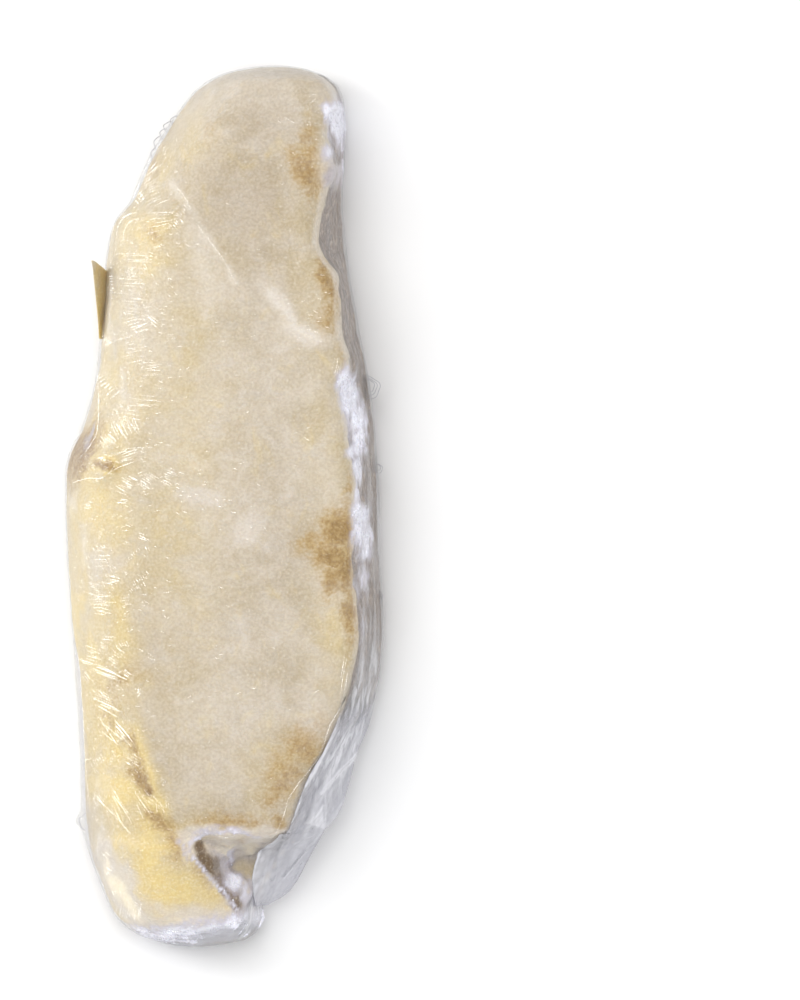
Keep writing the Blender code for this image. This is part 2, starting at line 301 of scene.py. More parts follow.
# Each seam: its path and its half width in millimetres, and how far it rises or sinks.
SEAMS = (
    (((-8.9, 68.6), (0.7, 56.2), (10.6, 44.3)), 1.6, 0.8),
    (((12.3, 46.4), (21, 37.4), (27.6, 39.5)), 2, 0.5),
    (((-25.3, 15.6), (-8.9, 9.4), (5.2, -2.7)), 3, 0.5),
    (((-35.6, 5.5), (-31.8, 6.5), (-28.5, 6.5), (-25.9, 8.6), (-24.8, 11)), 0.9, 1.1),
    (((-31.5, 24), (-31, 18), (-30.2, 14)), 1.9, -1.6),
    (SLAB_EDGE[1:], 3, -1),
    (((23, 77), (22.3, 63.4), (26.8, 56.2)), 2.4, -0.8),
)
# Each lump: its place, its radius, and how far it rises or sinks, in millimetres.
LUMPS = (
    ((-27.6, 10.4), 2.9, 2),
    ((-32, 11), 2.6, 0.9),
    ((-19.8, 62), 9, 0.5),
    ((-21, 32), 9, -0.6),
    ((4, 20), 14, 0.6),
    ((-9, -40), 12, -0.6),
    ((14, -38), 10, 0.5),
    ((-14, -86), 9, 0.7),
)
SLAB_STEP = 1.3 * MM  # how much higher the slab stands than the band along the belly
NOTCH = ((-7.8, -77.2), (4.6, -95.2), (30, -95.2), (30, -76.4))
NOTCH_FLOOR = 18.0 * MM
NOTCH_LIP = 7.0 * MM
NOTCH_WAVER = 1.1 * MM  # how far the notch's border strays from its outline


def smooth_step(value):
    """0 up to 0, 1 from 1 on, and a smooth rise between."""
    value = np.clip(value, 0.0, 1.0)
    return value * value * (3.0 - 2.0 * value)


def fade(value, start, run):
    """0 up to start, smooth over the run, then 1. Start and run are in millimetres."""
    return smooth_step((value - start * MM) / (run * MM))


def bell(distance, width):
    """1 at no distance, and less the further away. The width is in millimetres."""
    return np.exp(-((distance / (width * MM)) ** 2))


def distance_to_path(x, y, path):
    """Distance in the plan from points to a path given in millimetres."""
    best = np.full(np.shape(x), np.inf)
    spots = np.array(path) * MM
    for start, end in zip(spots, spots[1:]):
        span = end - start
        t = ((x - start[0]) * span[0] + (y - start[1]) * span[1]) / (span @ span)
        t = np.clip(t, 0.0, 1.0)
        best = np.minimum(best, np.hypot(x - start[0] - t * span[0], y - start[1] - t * span[1]))
    return best


def depth_inside(x, y, corners, waver=0.0):
    """How far points are inside a convex outline, whose corners run anticlockwise."""
    spots = np.array(corners) * MM
    depth = np.full(np.shape(x), np.inf)
    for start, end in zip(spots, np.roll(spots, -1, axis=0)):
        side = (end - start) / np.linalg.norm(end - start)
        depth = np.minimum(depth, side[0] * (y - start[1]) - side[1] * (x - start[0]))
    if waver:
        x, y = np.broadcast_arrays(x, y)
        plan = np.stack([x, y, np.zeros(x.shape)], axis=-1)
        depth = depth + waver * rough_noise(plan, 3.4 * MM, 61, 2)
    return depth


def low_forms(x, y):
    """The height that the seams, the lumps and the slab's edge add."""
    height = np.zeros(np.shape(x))
    for path, half_width, lift in SEAMS:
        height += lift * MM * bell(distance_to_path(x, y, path), half_width)
    for (at_x, at_y), radius, lift in LUMPS:
        height += lift * MM * bell(np.hypot(x - at_x * MM, y - at_y * MM), radius)
    edge_y, edge_x = np.array([spot[::-1] for spot in SLAB_EDGE[::-1]]).T * MM
    beyond = x - np.interp(y, edge_y, edge_x)
    along = fade(-y, 32.0, 18.0) * fade(y, -80.0, 3.0)
    height -= SLAB_STEP * along * (1.0 - smooth_step(beyond / (6.0 * MM) + 0.5))
    return height


def notched(height, x, y, floor, lip):
    """Heights lowered to a floor inside the notch, with a slight rim round it."""
    inside = depth_inside(x, y, NOTCH, NOTCH_WAVER)
    sunk = smooth_step((inside + 0.5 * MM) / lip)
    rim = 0.4 * MM * bell(inside + 1.2 * MM, 1.2)
    return height + rim + (np.minimum(floor, height) - height) * sunk


print("seams", len(SEAMS), "lumps", len(LUMPS))

# %% [markdown]
# ## One section after another
#
# Across a rib the belly side rises softly, and the back is a steep slanting wall with a
# crisp shoulder. The same function makes the fish and the film, because the film only
# lies a little further out and dips less into the notch.

# %% The loin's height above and below
WAIST = 6.5 * MM
SOFT_EDGE = 18.0 * MM
CROWN = 1.2 * MM  # how far the top bulges between its shoulders
BASE_EDGE = 6.0 * MM
TAIL_EDGE = 6.5 * MM
HEAD_EDGE = 4.2 * MM
WALL_SHARE = 0.92  # how much of its height the wall reaches at the skin line
WALL_ROUND = 2.0 * MM


def rise(distance, reach, power):
    """A rounded edge: 0 at its foot, 1 where it has reached the top."""
    inside = np.clip(distance / reach, 0.0, 1.0)
    return (1.0 - (1.0 - inside) ** power) ** (1.0 / power)


def end_rise(share, tail_reach, head_reach, power=1.6):
    """The rounding of both ends of the loin."""
    from_tail = share * LENGTH
    return rise(from_tail, tail_reach, power) * rise(LENGTH - from_tail, head_reach, 2.0)


def wall_width(share, left, right):
    """How far the right shoulder stands in from the loin's widest line."""
    (line,) = table_at(SKIN_LINE, share)
    width = right - left
    return np.clip(right - line * MM, 2.0 * MM, np.maximum(0.35 * width, 0.5 * MM))


def wall_rise(distance, wall):
    """A slanting wall, then a crisp shoulder that rounds over into the top."""
    distance = np.maximum(distance, 0.0)
    below = WALL_SHARE * np.clip(distance / wall, 0.0, 1.0) ** 0.8
    above = 1.0 - (1.0 - WALL_SHARE) * np.exp(-np.maximum(distance - wall, 0.0) / WALL_ROUND)
    return np.where(distance < wall, below, above)


def top_height(share, left, right, x, notch_floor, notch_lip=NOTCH_LIP):
    """The height of the top at places across ribs, for a notch of this depth."""
    y = (share - 0.5) * LENGTH
    width = right - left
    across = np.clip((x - left) / width, 0.0, 1.0)
    low, high = table_at(SHOULDER_HEIGHTS, share)
    slope = smooth_step(across)
    height = HEIGHT * (low * (1.0 - slope) + high * slope)
    height = height + CROWN * np.sin(math.pi * across) + low_forms(x, y)
    height = notched(height, x, y, notch_floor, notch_lip)
    soft = np.minimum(SOFT_EDGE, 0.45 * width)
    edges = rise(x - left, soft, 2.2) * wall_rise(right - x, wall_width(share, left, right))
    return WAIST + (height - WAIST) * edges * end_rise(share, TAIL_EDGE, HEAD_EDGE)


def base_height(share, left, right, x):
    """The height of the underside, which is flat and rounds up to the waist at its edge."""
    edge = np.minimum(BASE_EDGE, 0.45 * (right - left))
    inside = rise(x - left, edge, 2.0) * rise(right - x, edge, 2.0)
    return WAIST * (1.0 - inside * end_rise(share, BASE_EDGE, BASE_EDGE, 2.0))


def crowded(steps, crowding=0.6):
    """Shares from 0 to 1, closer together at both ends."""
    even = np.linspace(0.0, 1.0, steps + 1)
    return even + crowding * (0.5 - 0.5 * np.cos(math.pi * even) - even)


# %% [markdown]
# ## Lofting
#
# The sections are joined with quads, and a fan closes each tip. The loft's quads differ
# a lot in size, so a voxel remesh then evens them out: relief needs an even net.

# %% Loft and even out
TOP_STEPS = 110
BASE_STEPS = 60


def mesh_from(name, points, faces, edges=()):
    mesh = bpy.data.meshes.new(name)
    mesh.from_pydata([tuple(point) for point in points], edges, faces)
    mesh.update()
    return placed(name, mesh)


def lofted(rings, tips):
    """Points and faces of rings of points joined one after another and closed by tips."""
    count, around = rings.shape[:2]
    points = np.vstack([rings.reshape(-1, 3), np.array(tips)])
    faces = []
    for n in range(around):
        after = (n + 1) % around
        for k in range(count - 1):
            at = k * around
            faces.append((at + n, at + after, at + around + after, at + around + n))
    first_tip = count * around
    for n in range(around):
        after = (n + 1) % around
        faces.append((after, n, first_tip))
        at = (count - 1) * around
        faces.append((at + n, at + after, first_tip + 1))
    return points, faces


def closed_loft(rings):
    """The same for rings that end flat: a fan from the middle of each end closes it."""
    return lofted(rings, [rings[0].mean(axis=0), rings[-1].mean(axis=0)])


def turned_out(piece):
    """Merges doubles and turns a closed mesh's faces outwards."""
    shape = bmesh.new()
    shape.from_mesh(piece.data)
    bmesh.ops.remove_doubles(shape, verts=shape.verts, dist=1e-6)
    bmesh.ops.recalc_face_normals(shape, faces=shape.faces)
    shape.to_mesh(piece.data)
    shape.free()
    piece.data.update()


def loin_loft(name, notch_floor, notch_lip=NOTCH_LIP):
    """The whole loin as a closed mesh."""
    share, left, right = ribs_at(rib_places(RIB_STEP))
    y = (share - 0.5) * LENGTH
    over = crowded(TOP_STEPS)
    under = crowded(BASE_STEPS)[-2:0:-1]
    column = share[:, None], left[:, None], right[:, None]
    top_x = column[1] + (column[2] - column[1]) * over
    base_x = column[1] + (column[2] - column[1]) * under
    top_z = top_height(*column, top_x, notch_floor, notch_lip)
    base_z = base_height(*column, base_x)
    across = np.hstack([top_x, base_x])
    up = np.hstack([top_z, base_z])
    rings = np.stack([across, np.broadcast_to(y[:, None], across.shape), up], axis=-1)
    tips = [(tip[1] * WIDTH, (tip[0] - 0.5) * LENGTH, WAIST) for tip in (TAIL_TIP, HEAD_TIP)]
    piece = mesh_from(name, *lofted(rings, tips))
    turned_out(piece)
    return piece


def with_modifiers_applied(piece):
    """Replaces a piece's mesh by what its modifiers make of it."""
    graph = bpy.context.evaluated_depsgraph_get()
    applied = bpy.data.meshes.new_from_object(piece.evaluated_get(graph))
    piece.modifiers.clear()
    old = piece.data
    piece.data = applied
    applied.name = old.name
    bpy.data.meshes.remove(old)


def evened(piece, voxel, smoothing):
    """Gives a piece an even net of faces, and smooths it a little."""
    remesh = piece.modifiers.new("Even", "REMESH")
    remesh.mode = "VOXEL"
    remesh.voxel_size = voxel
    remesh.use_smooth_shade = True
    smooth = piece.modifiers.new("Settle", "SMOOTH")
    smooth.factor = 0.5
    smooth.iterations = smoothing
    with_modifiers_applied(piece)
    piece.data.shade_smooth()


def read_back(items, name, width):
    """Numbers from a mesh as an array, with so many for each item."""
    values = np.empty((len(items), width))
    items.foreach_get(name, values.ravel())
    return values


def points_of(piece):
    return read_back(piece.data.vertices, "co", 3)


def normals_of(piece):
    return read_back(piece.data.vertex_normals, "vector", 3)


def move_points(piece, points):
    piece.data.vertices.foreach_set("co", np.ascontiguousarray(points, np.float32).ravel())
    piece.data.update()


FISH_VOXEL = 0.8 * MM
fish = loin_loft("cod_fish", NOTCH_FLOOR)
evened(fish, FISH_VOXEL, 2)
print("fish", len(fish.data.polygons), "faces")

# %% [markdown]
# ## Zones of the fish
#
# What a loin looks like depends on the place: cream flesh on top, straw-yellow flesh along the belly and in
# the tail lobe, brown patches near the back, grey skin on the steep side, white frost on its shoulder and at
# the tail end. Some zones are painted light and shade instead: painted shade darkens the flesh in places, and
# painted light brightens the tail end and the notch's ledge. Each zone is a number from 0 to 1 at every
# point, made from soft ovals, and the material turns it into colour.

# %% Soft ovals and zones
# Each oval: place across and along, half width, half length in millimetres, turn in
# degrees, strength.
BROWN = (
    (21.7, 84.4, 2.6, 6, 10, 0.55),
    (20, 79.3, 4.2, 4.4, 0, 0.74),
    (22.4, 76.5, 3, 4.5, 0, 0.5),
    (24.9, 52.5, 2.8, 7, 10, 0.75),
    (25.2, 45, 3.4, 5, 0, 0.5),
    (28.2, 36, 1.6, 6, 0, 0.3),
    (27.8, -5.8, 5.4, 5, 0, 0.88),
    (21.5, -8.5, 6, 4, 0, 0.5),
    (29.2, -15.5, 3.8, 7, 0, 0.8),
    (30.2, -27, 2.2, 8, 0, 0.6),
    (30, 4, 1.6, 7, 0, 0.4),
    (19.5, -56, 5, 5, -30, 0.62),
    (13.5, -64, 4.5, 7, -15, 0.55),
    (22.6, -51, 3, 4, 0, 0.36),
    (4, -74, 13, 2.6, 0, 0.5),
    (-19.4, -64.6, 2.2, 4, 30, 0.85),
    (-21.6, -57.5, 2.2, 5, 22, 0.55),
    (-18.2, -66.6, 0.9, 1.3, 30, 1.3),
    (-14, -74, 5, 2.6, -35, 0.6),
    (-11, -80.5, 3.6, 4.6, 0, 0.45),
    (-24, -41, 8, 3.4, 10, 0.35),
    (-27, -47, 5, 13, 8, 0.3),
    (-27.4, 9.4, 4, 1.9, 0, 0.72),
    (-33, 7.4, 2, 1.2, 0, 0.3),
    (-16, 64.5, 4, 2.6, -40, 0.4),
    (-2, 88, 3, 5, 30, 0.22),
    (3, 18, 5, 7, 0, 0.18),
    (-2, -86, 4, 9, 36, 0.42),
    (24.5, -11.8, 4.4, 4, 0, 0.75),
    (25.5, -17.5, 3, 5, 0, 0.6),
    (-18.5, 80.5, 4, 6, -30, 0.34),
    (2, -78.8, 8.5, 1.8, 0, 0.5),
    (-33, 13, 2.8, 8, -22, 0.95),
    (13, -74.5, 2.4, 3, 0, 0.55),
)
YELLOW = (
    (-20, 62, 10, 12, 0, 0.65),
    (-27, 34, 9, 26, 0, 0.5),
    (-29, -2, 11, 20, 0, 0.6),
    (-28.5, -34, 9, 18, 0, 0.85),
    (-27, -60, 8, 18, 10, 0.95),
    (-17, -88, 15, 14, 0, 1.1),
    (-3, -93, 7, 8, 0, 0.8),
    (27, -26, 6, 26, 0, 0.26),
    (26, 15, 6, 24, 0, 0.16),
    (14, -62, 10, 9, 0, 0.26),
    (21, 60, 7, 26, 0, 0.16),
    (-12, 20, 12, 70, 0, 0.26),
    (-10, 88, 9, 9, 40, 0.35),
    (-14, -76, 8, 5, -30, 0.8),
    (-20.6, -60, 4, 12, 24, 1.2),
    (-15, -70, 5, 4, -35, 1),
    (-18, 80, 6, 9, -20, 0.85),
    (-30, -46, 5, 26, 0, 1.2),
    (-32, 13, 4, 9, -20, 1.1),
    (-28, 9.2, 5, 3, 0, 1.2),
    (-36, -40, 5, 40, 0, 1.1),
)
# Icy paleness in the flesh, and painted light: the strongest rows, on the tail end, the lobe's edge and the
# notch's ledge, lift those dim slopes to a bright cream.
PALE_AND_LIT = (
    (-16, -94.5, 9, 3.2, -20, 0.75),
    (-4.6, 60.6, 7, 3.2, -54, 0.6),
    (-19.6, 46, 12, 16, 0, 0.45),
    (-28, -14, 8, 6, 0, 0.55),
    (5, -6, 4.2, 3.6, 40, 1.05),
    (-5, 2.5, 6, 1.8, -22, 1.15),
    (-12, 12, 12, 5, 0, 0.4),
    (14, 47, 2, 6.5, 40, 1.15),
    (19.6, 40.2, 5.6, 2, -15, 1.2),
    (25.4, 40.4, 1.6, 3.4, 30, 0.55),
    (-1.5, 52, 6, 8, 20, 0.5),
    (9, 30, 14, 10, 0, 0.4),
    (4, 97, 16, 6, 0, 0.35),
    (24.5, 82, 2.6, 6, 0, 0.6),
    (25.5, 77, 2.6, 5, 0, 0.45),
    (0, 0, 10, 26, 0, 0.38),
    (-4, -30, 13, 20, 0, 0.42),
    (-5, -55, 12, 13, 0, 0.45),
    (-8.2, -81, 2, 4.2, 30, 0.55),
    (2, -76.6, 9, 1.6, 0, 0.55),
    (-9, -98.6, 14, 3.4, 5, 1.6),
    (-23.6, -91.6, 3.8, 11, 34, 1.85),
    (-28, -84, 2.6, 6, 10, 1.6),
    (1, -79.8, 5, 2.2, 0, 1.75),
    (7.6, -80.6, 3.6, 3, 0, 1.65),
    (1.6, -46, 10, 9, 0, 0.55),
    (22, -50, 5, 7, 0, 0.5),
    (-8.4, 2.6, 3.4, 2.2, 0, 0.9),
    (11, 51, 3, 6, 40, 0.55),
)
FROST = (
    (27.2, 91, 2.2, 5.6, 0, 1.2),
    (29, 86, 1.2, 6.4, 0, 1),
    (24.9, 92.6, 1.6, 2.6, 0, 0.95),
    (25, 83.2, 2.2, 2, 0, 0.66),
    (28.6, 79, 0.9, 5, 0, 0.7),
    (29.2, 28.6, 2.2, 3.8, 0, 1.2),
    (30.2, 24.6, 2.3, 3.8, 0, 1.2),
    (31.6, 20.4, 2.1, 4.2, 0, 1.2),
    (32.2, 15.7, 1.8, 4.2, 0, 1.2),
    (30.9, 12.8, 2.2, 2, 0, 1),
    (31.9, 8.6, 1.2, 3.6, 0, 1.05),
    (31.5, 2.9, 0.7, 3.4, 0, 0.9),
    (32.6, -1.8, 2, 2.8, 0, 1.2),
    (32.7, -6.5, 2.3, 3.4, 0, 1.25),
    (33.5, -10.7, 1.7, 2.2, 0, 1.05),
    (33, -17.3, 1.6, 4.6, 0, 0.6),
    (33, -28, 0.9, 6, 0, 0.5),
    (-10, -101.6, 15, 3, 8, 1.5),
    (-18, -100.4, 5, 1.1, -14, 0.9),
    (4.6, -98.6, 7, 2.6, 20, 1.4),
    (-9, -80.6, 1, 3.6, 30, 0.62),
    (-3, -75.9, 4, 0.9, 12, 0.62),
    (4.6, -76, 3, 0.9, -10, 0.6),
    (1.8, -82.6, 1.6, 1.9, 0, 0.75),
    (2.2, -88.8, 2.2, 2.8, 20, 1),
    (5.4, -91, 1.2, 3, 0, 0.75),
)
LILAC = (
    (-31.4, 17, 1, 4.6, -12, 0.8),
    (-18.3, 82.1, 1.1, 9, -23, 0.6),
    (0.6, -85, 3.6, 6.6, 20, 1),
    (4.6, -93, 3.4, 4.4, 20, 0.9),
    (7.4, -83, 3, 3, 0, 0.4),
    (26.6, 78, 2.6, 4.4, 0, 0.85),
    (-29.6, 66, 2, 5, 0, 0.2),
)
MEMBRANE = (
    (-2.6, -83, 2, 2.6, 30, 0.9),
    (7.2, -83.4, 1, 2.6, 0, 0.5),
    (-4.6, -80.8, 1.6, 1.4, 0, 0.62),
)
NOTCH_RIM = ((3.6, -95), (-2.6, -87.6), (-7.4, -81.2), (-7.6, -78.6), (-3, -76.6), (1.6, -75.9), (8.7, -77.8))
NOTCH_FOLD = ((-5.4, -80.2), (-2.6, -84.4), (0.4, -88.8), (3.2, -93.6))
SHADOWS = (
    (-26.5, -37, 6, 18, 0, 0.35),
    (3, 72, 22, 14, 0, 1.05),
    (8, 88, 14, 10, 0, 0.8),
    (12, 58, 11, 12, 0, 0.6),
    (-15, 84, 7, 9, -30, 0.9),
    (12, -7, 12, 11, 0, 0.45),
    (-14, -36, 14, 12, 0, 0.45),
    (-12, -60, 11, 9, 0, 0.5),
    (15, -62, 8, 10, -25, 0.8),
    (-4, -73, 12, 5, 0, 1),
    (-8, -79, 4, 5, 0, 0.9),
    (-31, -56, 3, 22, 0, 0.7),
)


def ovals(x, y, rows):
    """The strongest of several soft ovals at each point of the plan."""
    value = np.zeros(np.shape(x))
    for at_x, at_y, half_width, half_length, turn, strength in rows:
        c, s = math.cos(math.radians(turn)), math.sin(math.radians(turn))
        dx, dy = x / MM - at_x, y / MM - at_y
        u = (dx * c + dy * s) / half_width
        v = (dy * c - dx * s) / half_length
        value = np.maximum(value, strength * np.exp(-(u * u + v * v) * 0.9))
    return value


def behind_skin_line(points):
    """How far points lie beyond the skin line, in metres."""
    (line,) = table_at(SKIN_LINE, points[:, 1] / LENGTH + 0.5)
    return points[:, 0] - line * MM


def zones_of(points, up):
    """The zones at points whose normals have these heights."""
    x, y, z = points.T
    ragged = rough_noise(points, 3.0 * MM, 5)
    wobble = 1.5 * MM * noise_pair(points, 7.0 * MM, 11)
    wx, wy = x + wobble[0], y + wobble[1]
    torn = MM * noise_pair(points, 2.6 * MM, 13)
    beyond = behind_skin_line(points) + 0.35 * MM * ragged
    skin = smooth_step(beyond / (1.2 * MM) + 0.2) * fade(y, -74.0, 4.0)
    under = fade(-z, -6.0, 4.0) * smooth_step(0.3 - up)
    belly_side = fade(-z, -9.0, 7.0) * fade(-x, 0.0, 20.0)
    notch_rim = 0.95 * bell(depth_inside(x, y, NOTCH, NOTCH_WAVER) + 0.6 * MM, 1.5)
    skin_rim = 0.55 * bell(beyond + 0.7 * MM, 0.7) * fade(y, 30.0, 9.0)
    # Where the belly side faces sideways, on the far left and along its middle, it turns lilac-grey.
    flank = smooth_step((0.55 - up) / 0.5) * fade(-x, 25.5, 4.0)
    flank = flank * fade(-y, 34.0, 14.0) * fade(y, -92.0, 6.0)
    crumbs = 0.80 * bell(distance_to_path(x + 0.4 * torn[0], y + 0.4 * torn[1], NOTCH_RIM), 0.55)
    fold = 1.05 * bell(distance_to_path(wx, wy, NOTCH_FOLD), 1.9)
    frost = ovals(x + 0.7 * torn[0], y + torn[1], FROST) * (0.85 + 0.25 * ragged)
    return {
        "brown": ovals(wx, wy, BROWN),
        "yellow": ovals(wx, wy, YELLOW),
        "shadow": ovals(wx, wy, SHADOWS),
        "pale": np.max([ovals(wx, wy, PALE_AND_LIT), notch_rim * (up > 0.1), skin_rim], axis=0),
        "frost": np.maximum(frost, crumbs * (0.8 + 0.4 * ragged)),
        "lilac": np.maximum(ovals(wx, wy, LILAC), 0.45 * flank),
        "membrane": np.maximum(ovals(wx, wy, MEMBRANE), fold * (0.85 + 0.3 * ragged)),
        "skin": np.max([skin, under, 0.4 * belly_side], axis=0),
    }


def store(piece, name, values):
    """Writes one number for each point of a piece, for materials and trees to read."""
    attribute = piece.data.attributes.new(name, "FLOAT", "POINT")
    attribute.data.foreach_set("value", np.ascontiguousarray(values, np.float32))


# %% [markdown]
# ## Relief of the fish
#
# The flesh is lumpy at the size of a fingertip and grainy at the size of a crumb. Frost
# stands up in small lumps, and the skin is smoother. All of it moves points along their
# normals, and less so underneath, where the loin lies flat.

# %% Relief of the fish
FISH_INSET = 0.10 * MM  # the film needs a little room outside the fish


def lifted_off(z):
    """0 where a point lies on the table, and 1 from a few millimetres up."""
    return fade(z, 0.4, 3.0)


points = points_of(fish)
normals = normals_of(fish)
x, y, z = points.T
zones = zones_of(points, normals[:, 2])
relief = 0.28 * rough_noise(points, 9.0 * MM, 21) + 0.10 * rough_noise(points, 2.6 * MM, 22, 2)
relief += zones["frost"] * (0.25 + 0.30 * rough_noise(points, 1.8 * MM, 23, 2))
in_notch = fade(depth_inside(x, y, NOTCH), 1.0, 2.0) * (normals[:, 2] > 0.0)
relief += in_notch * 1.1 * rough_noise(points, 3.4 * MM, 25, 3)
relief += 0.25 * zones["skin"] * soft_noise(points * (1.0, 0.35, 1.0), 2.4 * MM, 24)
relief = relief * lifted_off(z) * MM - FISH_INSET
# The belly side draws in a little at two places, where the film hangs free of it.
lower = fade(y, -84.0, 8.0) * fade(-y, 30.0, 10.0)
upper = fade(y, 70.0, 5.0) * fade(-y, -92.0, 5.0)
outward = smooth_step((-normals[:, 0] - 0.35) / 0.4)
relief -= (0.55 * lower + 0.45 * upper) * outward * MM
move_points(fish, points + normals * relief[:, None])
for name, values in zones.items():
    store(fish, name, values)
print("relief", round(float(relief.min()) / MM, 2), "to", round(float(relief.max()) / MM, 2), "mm")

# %% [markdown]
# ## Building node trees
#
# Node trees get long when they are written out one call at a time. A small class keeps
# them readable: it adds a node with its values, links it when a value is another node's
# output, and does sums. A second class builds on it for materials: noise, attributes,
# soft thresholds, and mixes of colours and shaders.


# %% Helpers for node trees
class NodeTree:
    """Short calls for adding nodes. A value is a number, or the output of another node."""

    def __init__(self, tree):
        self.nodes = tree.nodes
        self.links = tree.links

    def feed(self, socket, value):
        if isinstance(value, bpy.types.NodeSocket):
            self.links.new(value, socket)
        else:
            socket.default_value = value

    def add(self, kind, values=None, **settings):
        node = self.nodes.new(kind)
        for name, value in settings.items():
            setattr(node, name, value)
        for name, value in (values or {}).items():
            self.feed(node.inputs[name], value)
        return node

    def math(self, operation, *values, clamp=False):
        node = self.add("ShaderNodeMath", operation=operation, use_clamp=clamp)
        for socket, value in zip(node.inputs, values):
            self.feed(socket, value)
        return node.outputs[0]

    def plus(self, a, b, clamp=False):
        return self.math("ADD", a, b, clamp=clamp)

    def times(self, a, b, clamp=False):
        return self.math("MULTIPLY", a, b, clamp=clamp)


class Tree(NodeTree):
    """A material's node tree."""

    def __init__(self, name):
        self.material = bpy.data.materials.new(name)
        self.material.use_nodes = True
        super().__init__(self.material.node_tree)
        self.nodes.clear()
        self.output = self.nodes.new("ShaderNodeOutputMaterial")

    def place(self, stretch=(1.0, 1.0, 1.0)):
        """Object coordinates in millimetres, stretched."""
        coordinates = self.add("ShaderNodeTexCoord").outputs["Object"]
        scale = tuple(s / MM for s in stretch)
        return self.add("ShaderNodeMapping", {"Vector": coordinates, "Scale": scale}).outputs[0]

    def noise(self, size, detail=3.0, stretch=(1.0, 1.0, 1.0), distortion=0.0):
        values = {"Vector": self.place(stretch), "Scale": 1.0 / size, "Detail": detail}
        return self.add("ShaderNodeTexNoise", {**values, "Distortion": distortion}).outputs["Fac"]

    def attribute(self, name):
        return self.add("ShaderNodeAttribute", attribute_name=name).outputs["Fac"]

    def between(self, value, low, high):
        """0 below low, 1 above high, smooth between them."""
        values = {"Value": value, "From Min": low, "From Max": high}
        return self.add("ShaderNodeMapRange", values, interpolation_type="SMOOTHSTEP").outputs[0]

    def mix(self, mask, first, second, blend="MIX"):
        """A mix of two colours by a mask."""
        node = self.add("ShaderNodeMix", data_type="RGBA", blend_type=blend)
        for at, value in ((0, mask), (6, first), (7, second)):
            self.feed(node.inputs[at], (*value, 1.0) if isinstance(value, tuple) else value)
        return node.outputs[2]

    def blend(self, mask, first, second):
        """A mix of two shaders by a mask."""
        node = self.add("ShaderNodeMixShader", {"Fac": mask})
        self.links.new(first.outputs[0], node.inputs[1])
        self.links.new(second.outputs[0], node.inputs[2])
        return node

    def bump(self, height, strength, distance):
        values = {"Height": height, "Strength": strength, "Distance": distance}
        return self.add("ShaderNodeBump", values).outputs[0]

    def principled(self, **values):
        """A Principled shader. An underscore in a name stands for a space."""
        named = {name.replace("_", " "): value for name, value in values.items()}
        return self.add("ShaderNodeBsdfPrincipled", named)

    def towards(self, direction):
        """A fixed direction for the Normal input of a shader."""
        return self.add("ShaderNodeCombineXYZ", dict(zip("XYZ", direction))).outputs[0]

    def finish(self, shader):
        self.links.new(shader.outputs[0], self.output.inputs[0])
        return self.material


def shade(red, green, blue):
    """A colour as seen on screen, turned into the linear values that Blender mixes."""
    screen = (red, green, blue)
    return tuple((c / 255.0 + 0.055) ** 2.4 / 1.055**2.4 if c > 10 else c / 3294.6 for c in screen)


print("cream", [round(c, 3) for c in shade(215, 200, 177)])

# %% [markdown]
# ## Flesh, skin and frost
#
# One material paints the whole fish. It starts with cream flesh, clouded at several sizes, then lays on
# yellow, painted shade, brown, icy paleness, painted light, skin, frost and a painted sparkle by their zones,
# one layer over another in the order of a list. Fine noise roughens the border of each zone, so that no
# border is a soft airbrushed blur.

# %% Flesh material
CREAM = shade(206, 195, 178)
CREAM_DEEP = shade(194, 181, 159)
STRAW = shade(230, 210, 153)
OCHRE = shade(190, 163, 114)
BROWN_FLESH = shade(152, 122, 76)
ICE_PALE = shade(218, 209, 197)
LILAC_GREY = shade(190, 182, 184)
SKIN_GREY = shade(124, 103, 83)
SKIN_LIGHT = shade(176, 155, 133)
SKIN_DARK = shade(100, 81, 64)
# painted light: a bright cream that lifts slopes the lamps leave dim
LIT_CREAM = shade(248, 237, 210)
MEMBRANE_BROWN = shade(124, 103, 78)
DIM = shade(138, 112, 76)
FROST_WHITE = shade(246, 246, 255)
FROST_LILAC = shade(208, 204, 216)
FROST_SHADE = shade(214, 212, 222)
SALT_SPECKS = shade(245, 240, 228)
PAINTED_SPARKLE = shade(252, 244, 222)
BLACK = (0.0, 0.0, 0.0)
SKIN_STRETCH = (1.0, 0.6, 0.5)  # the skin's pattern is longer along the fish than across it


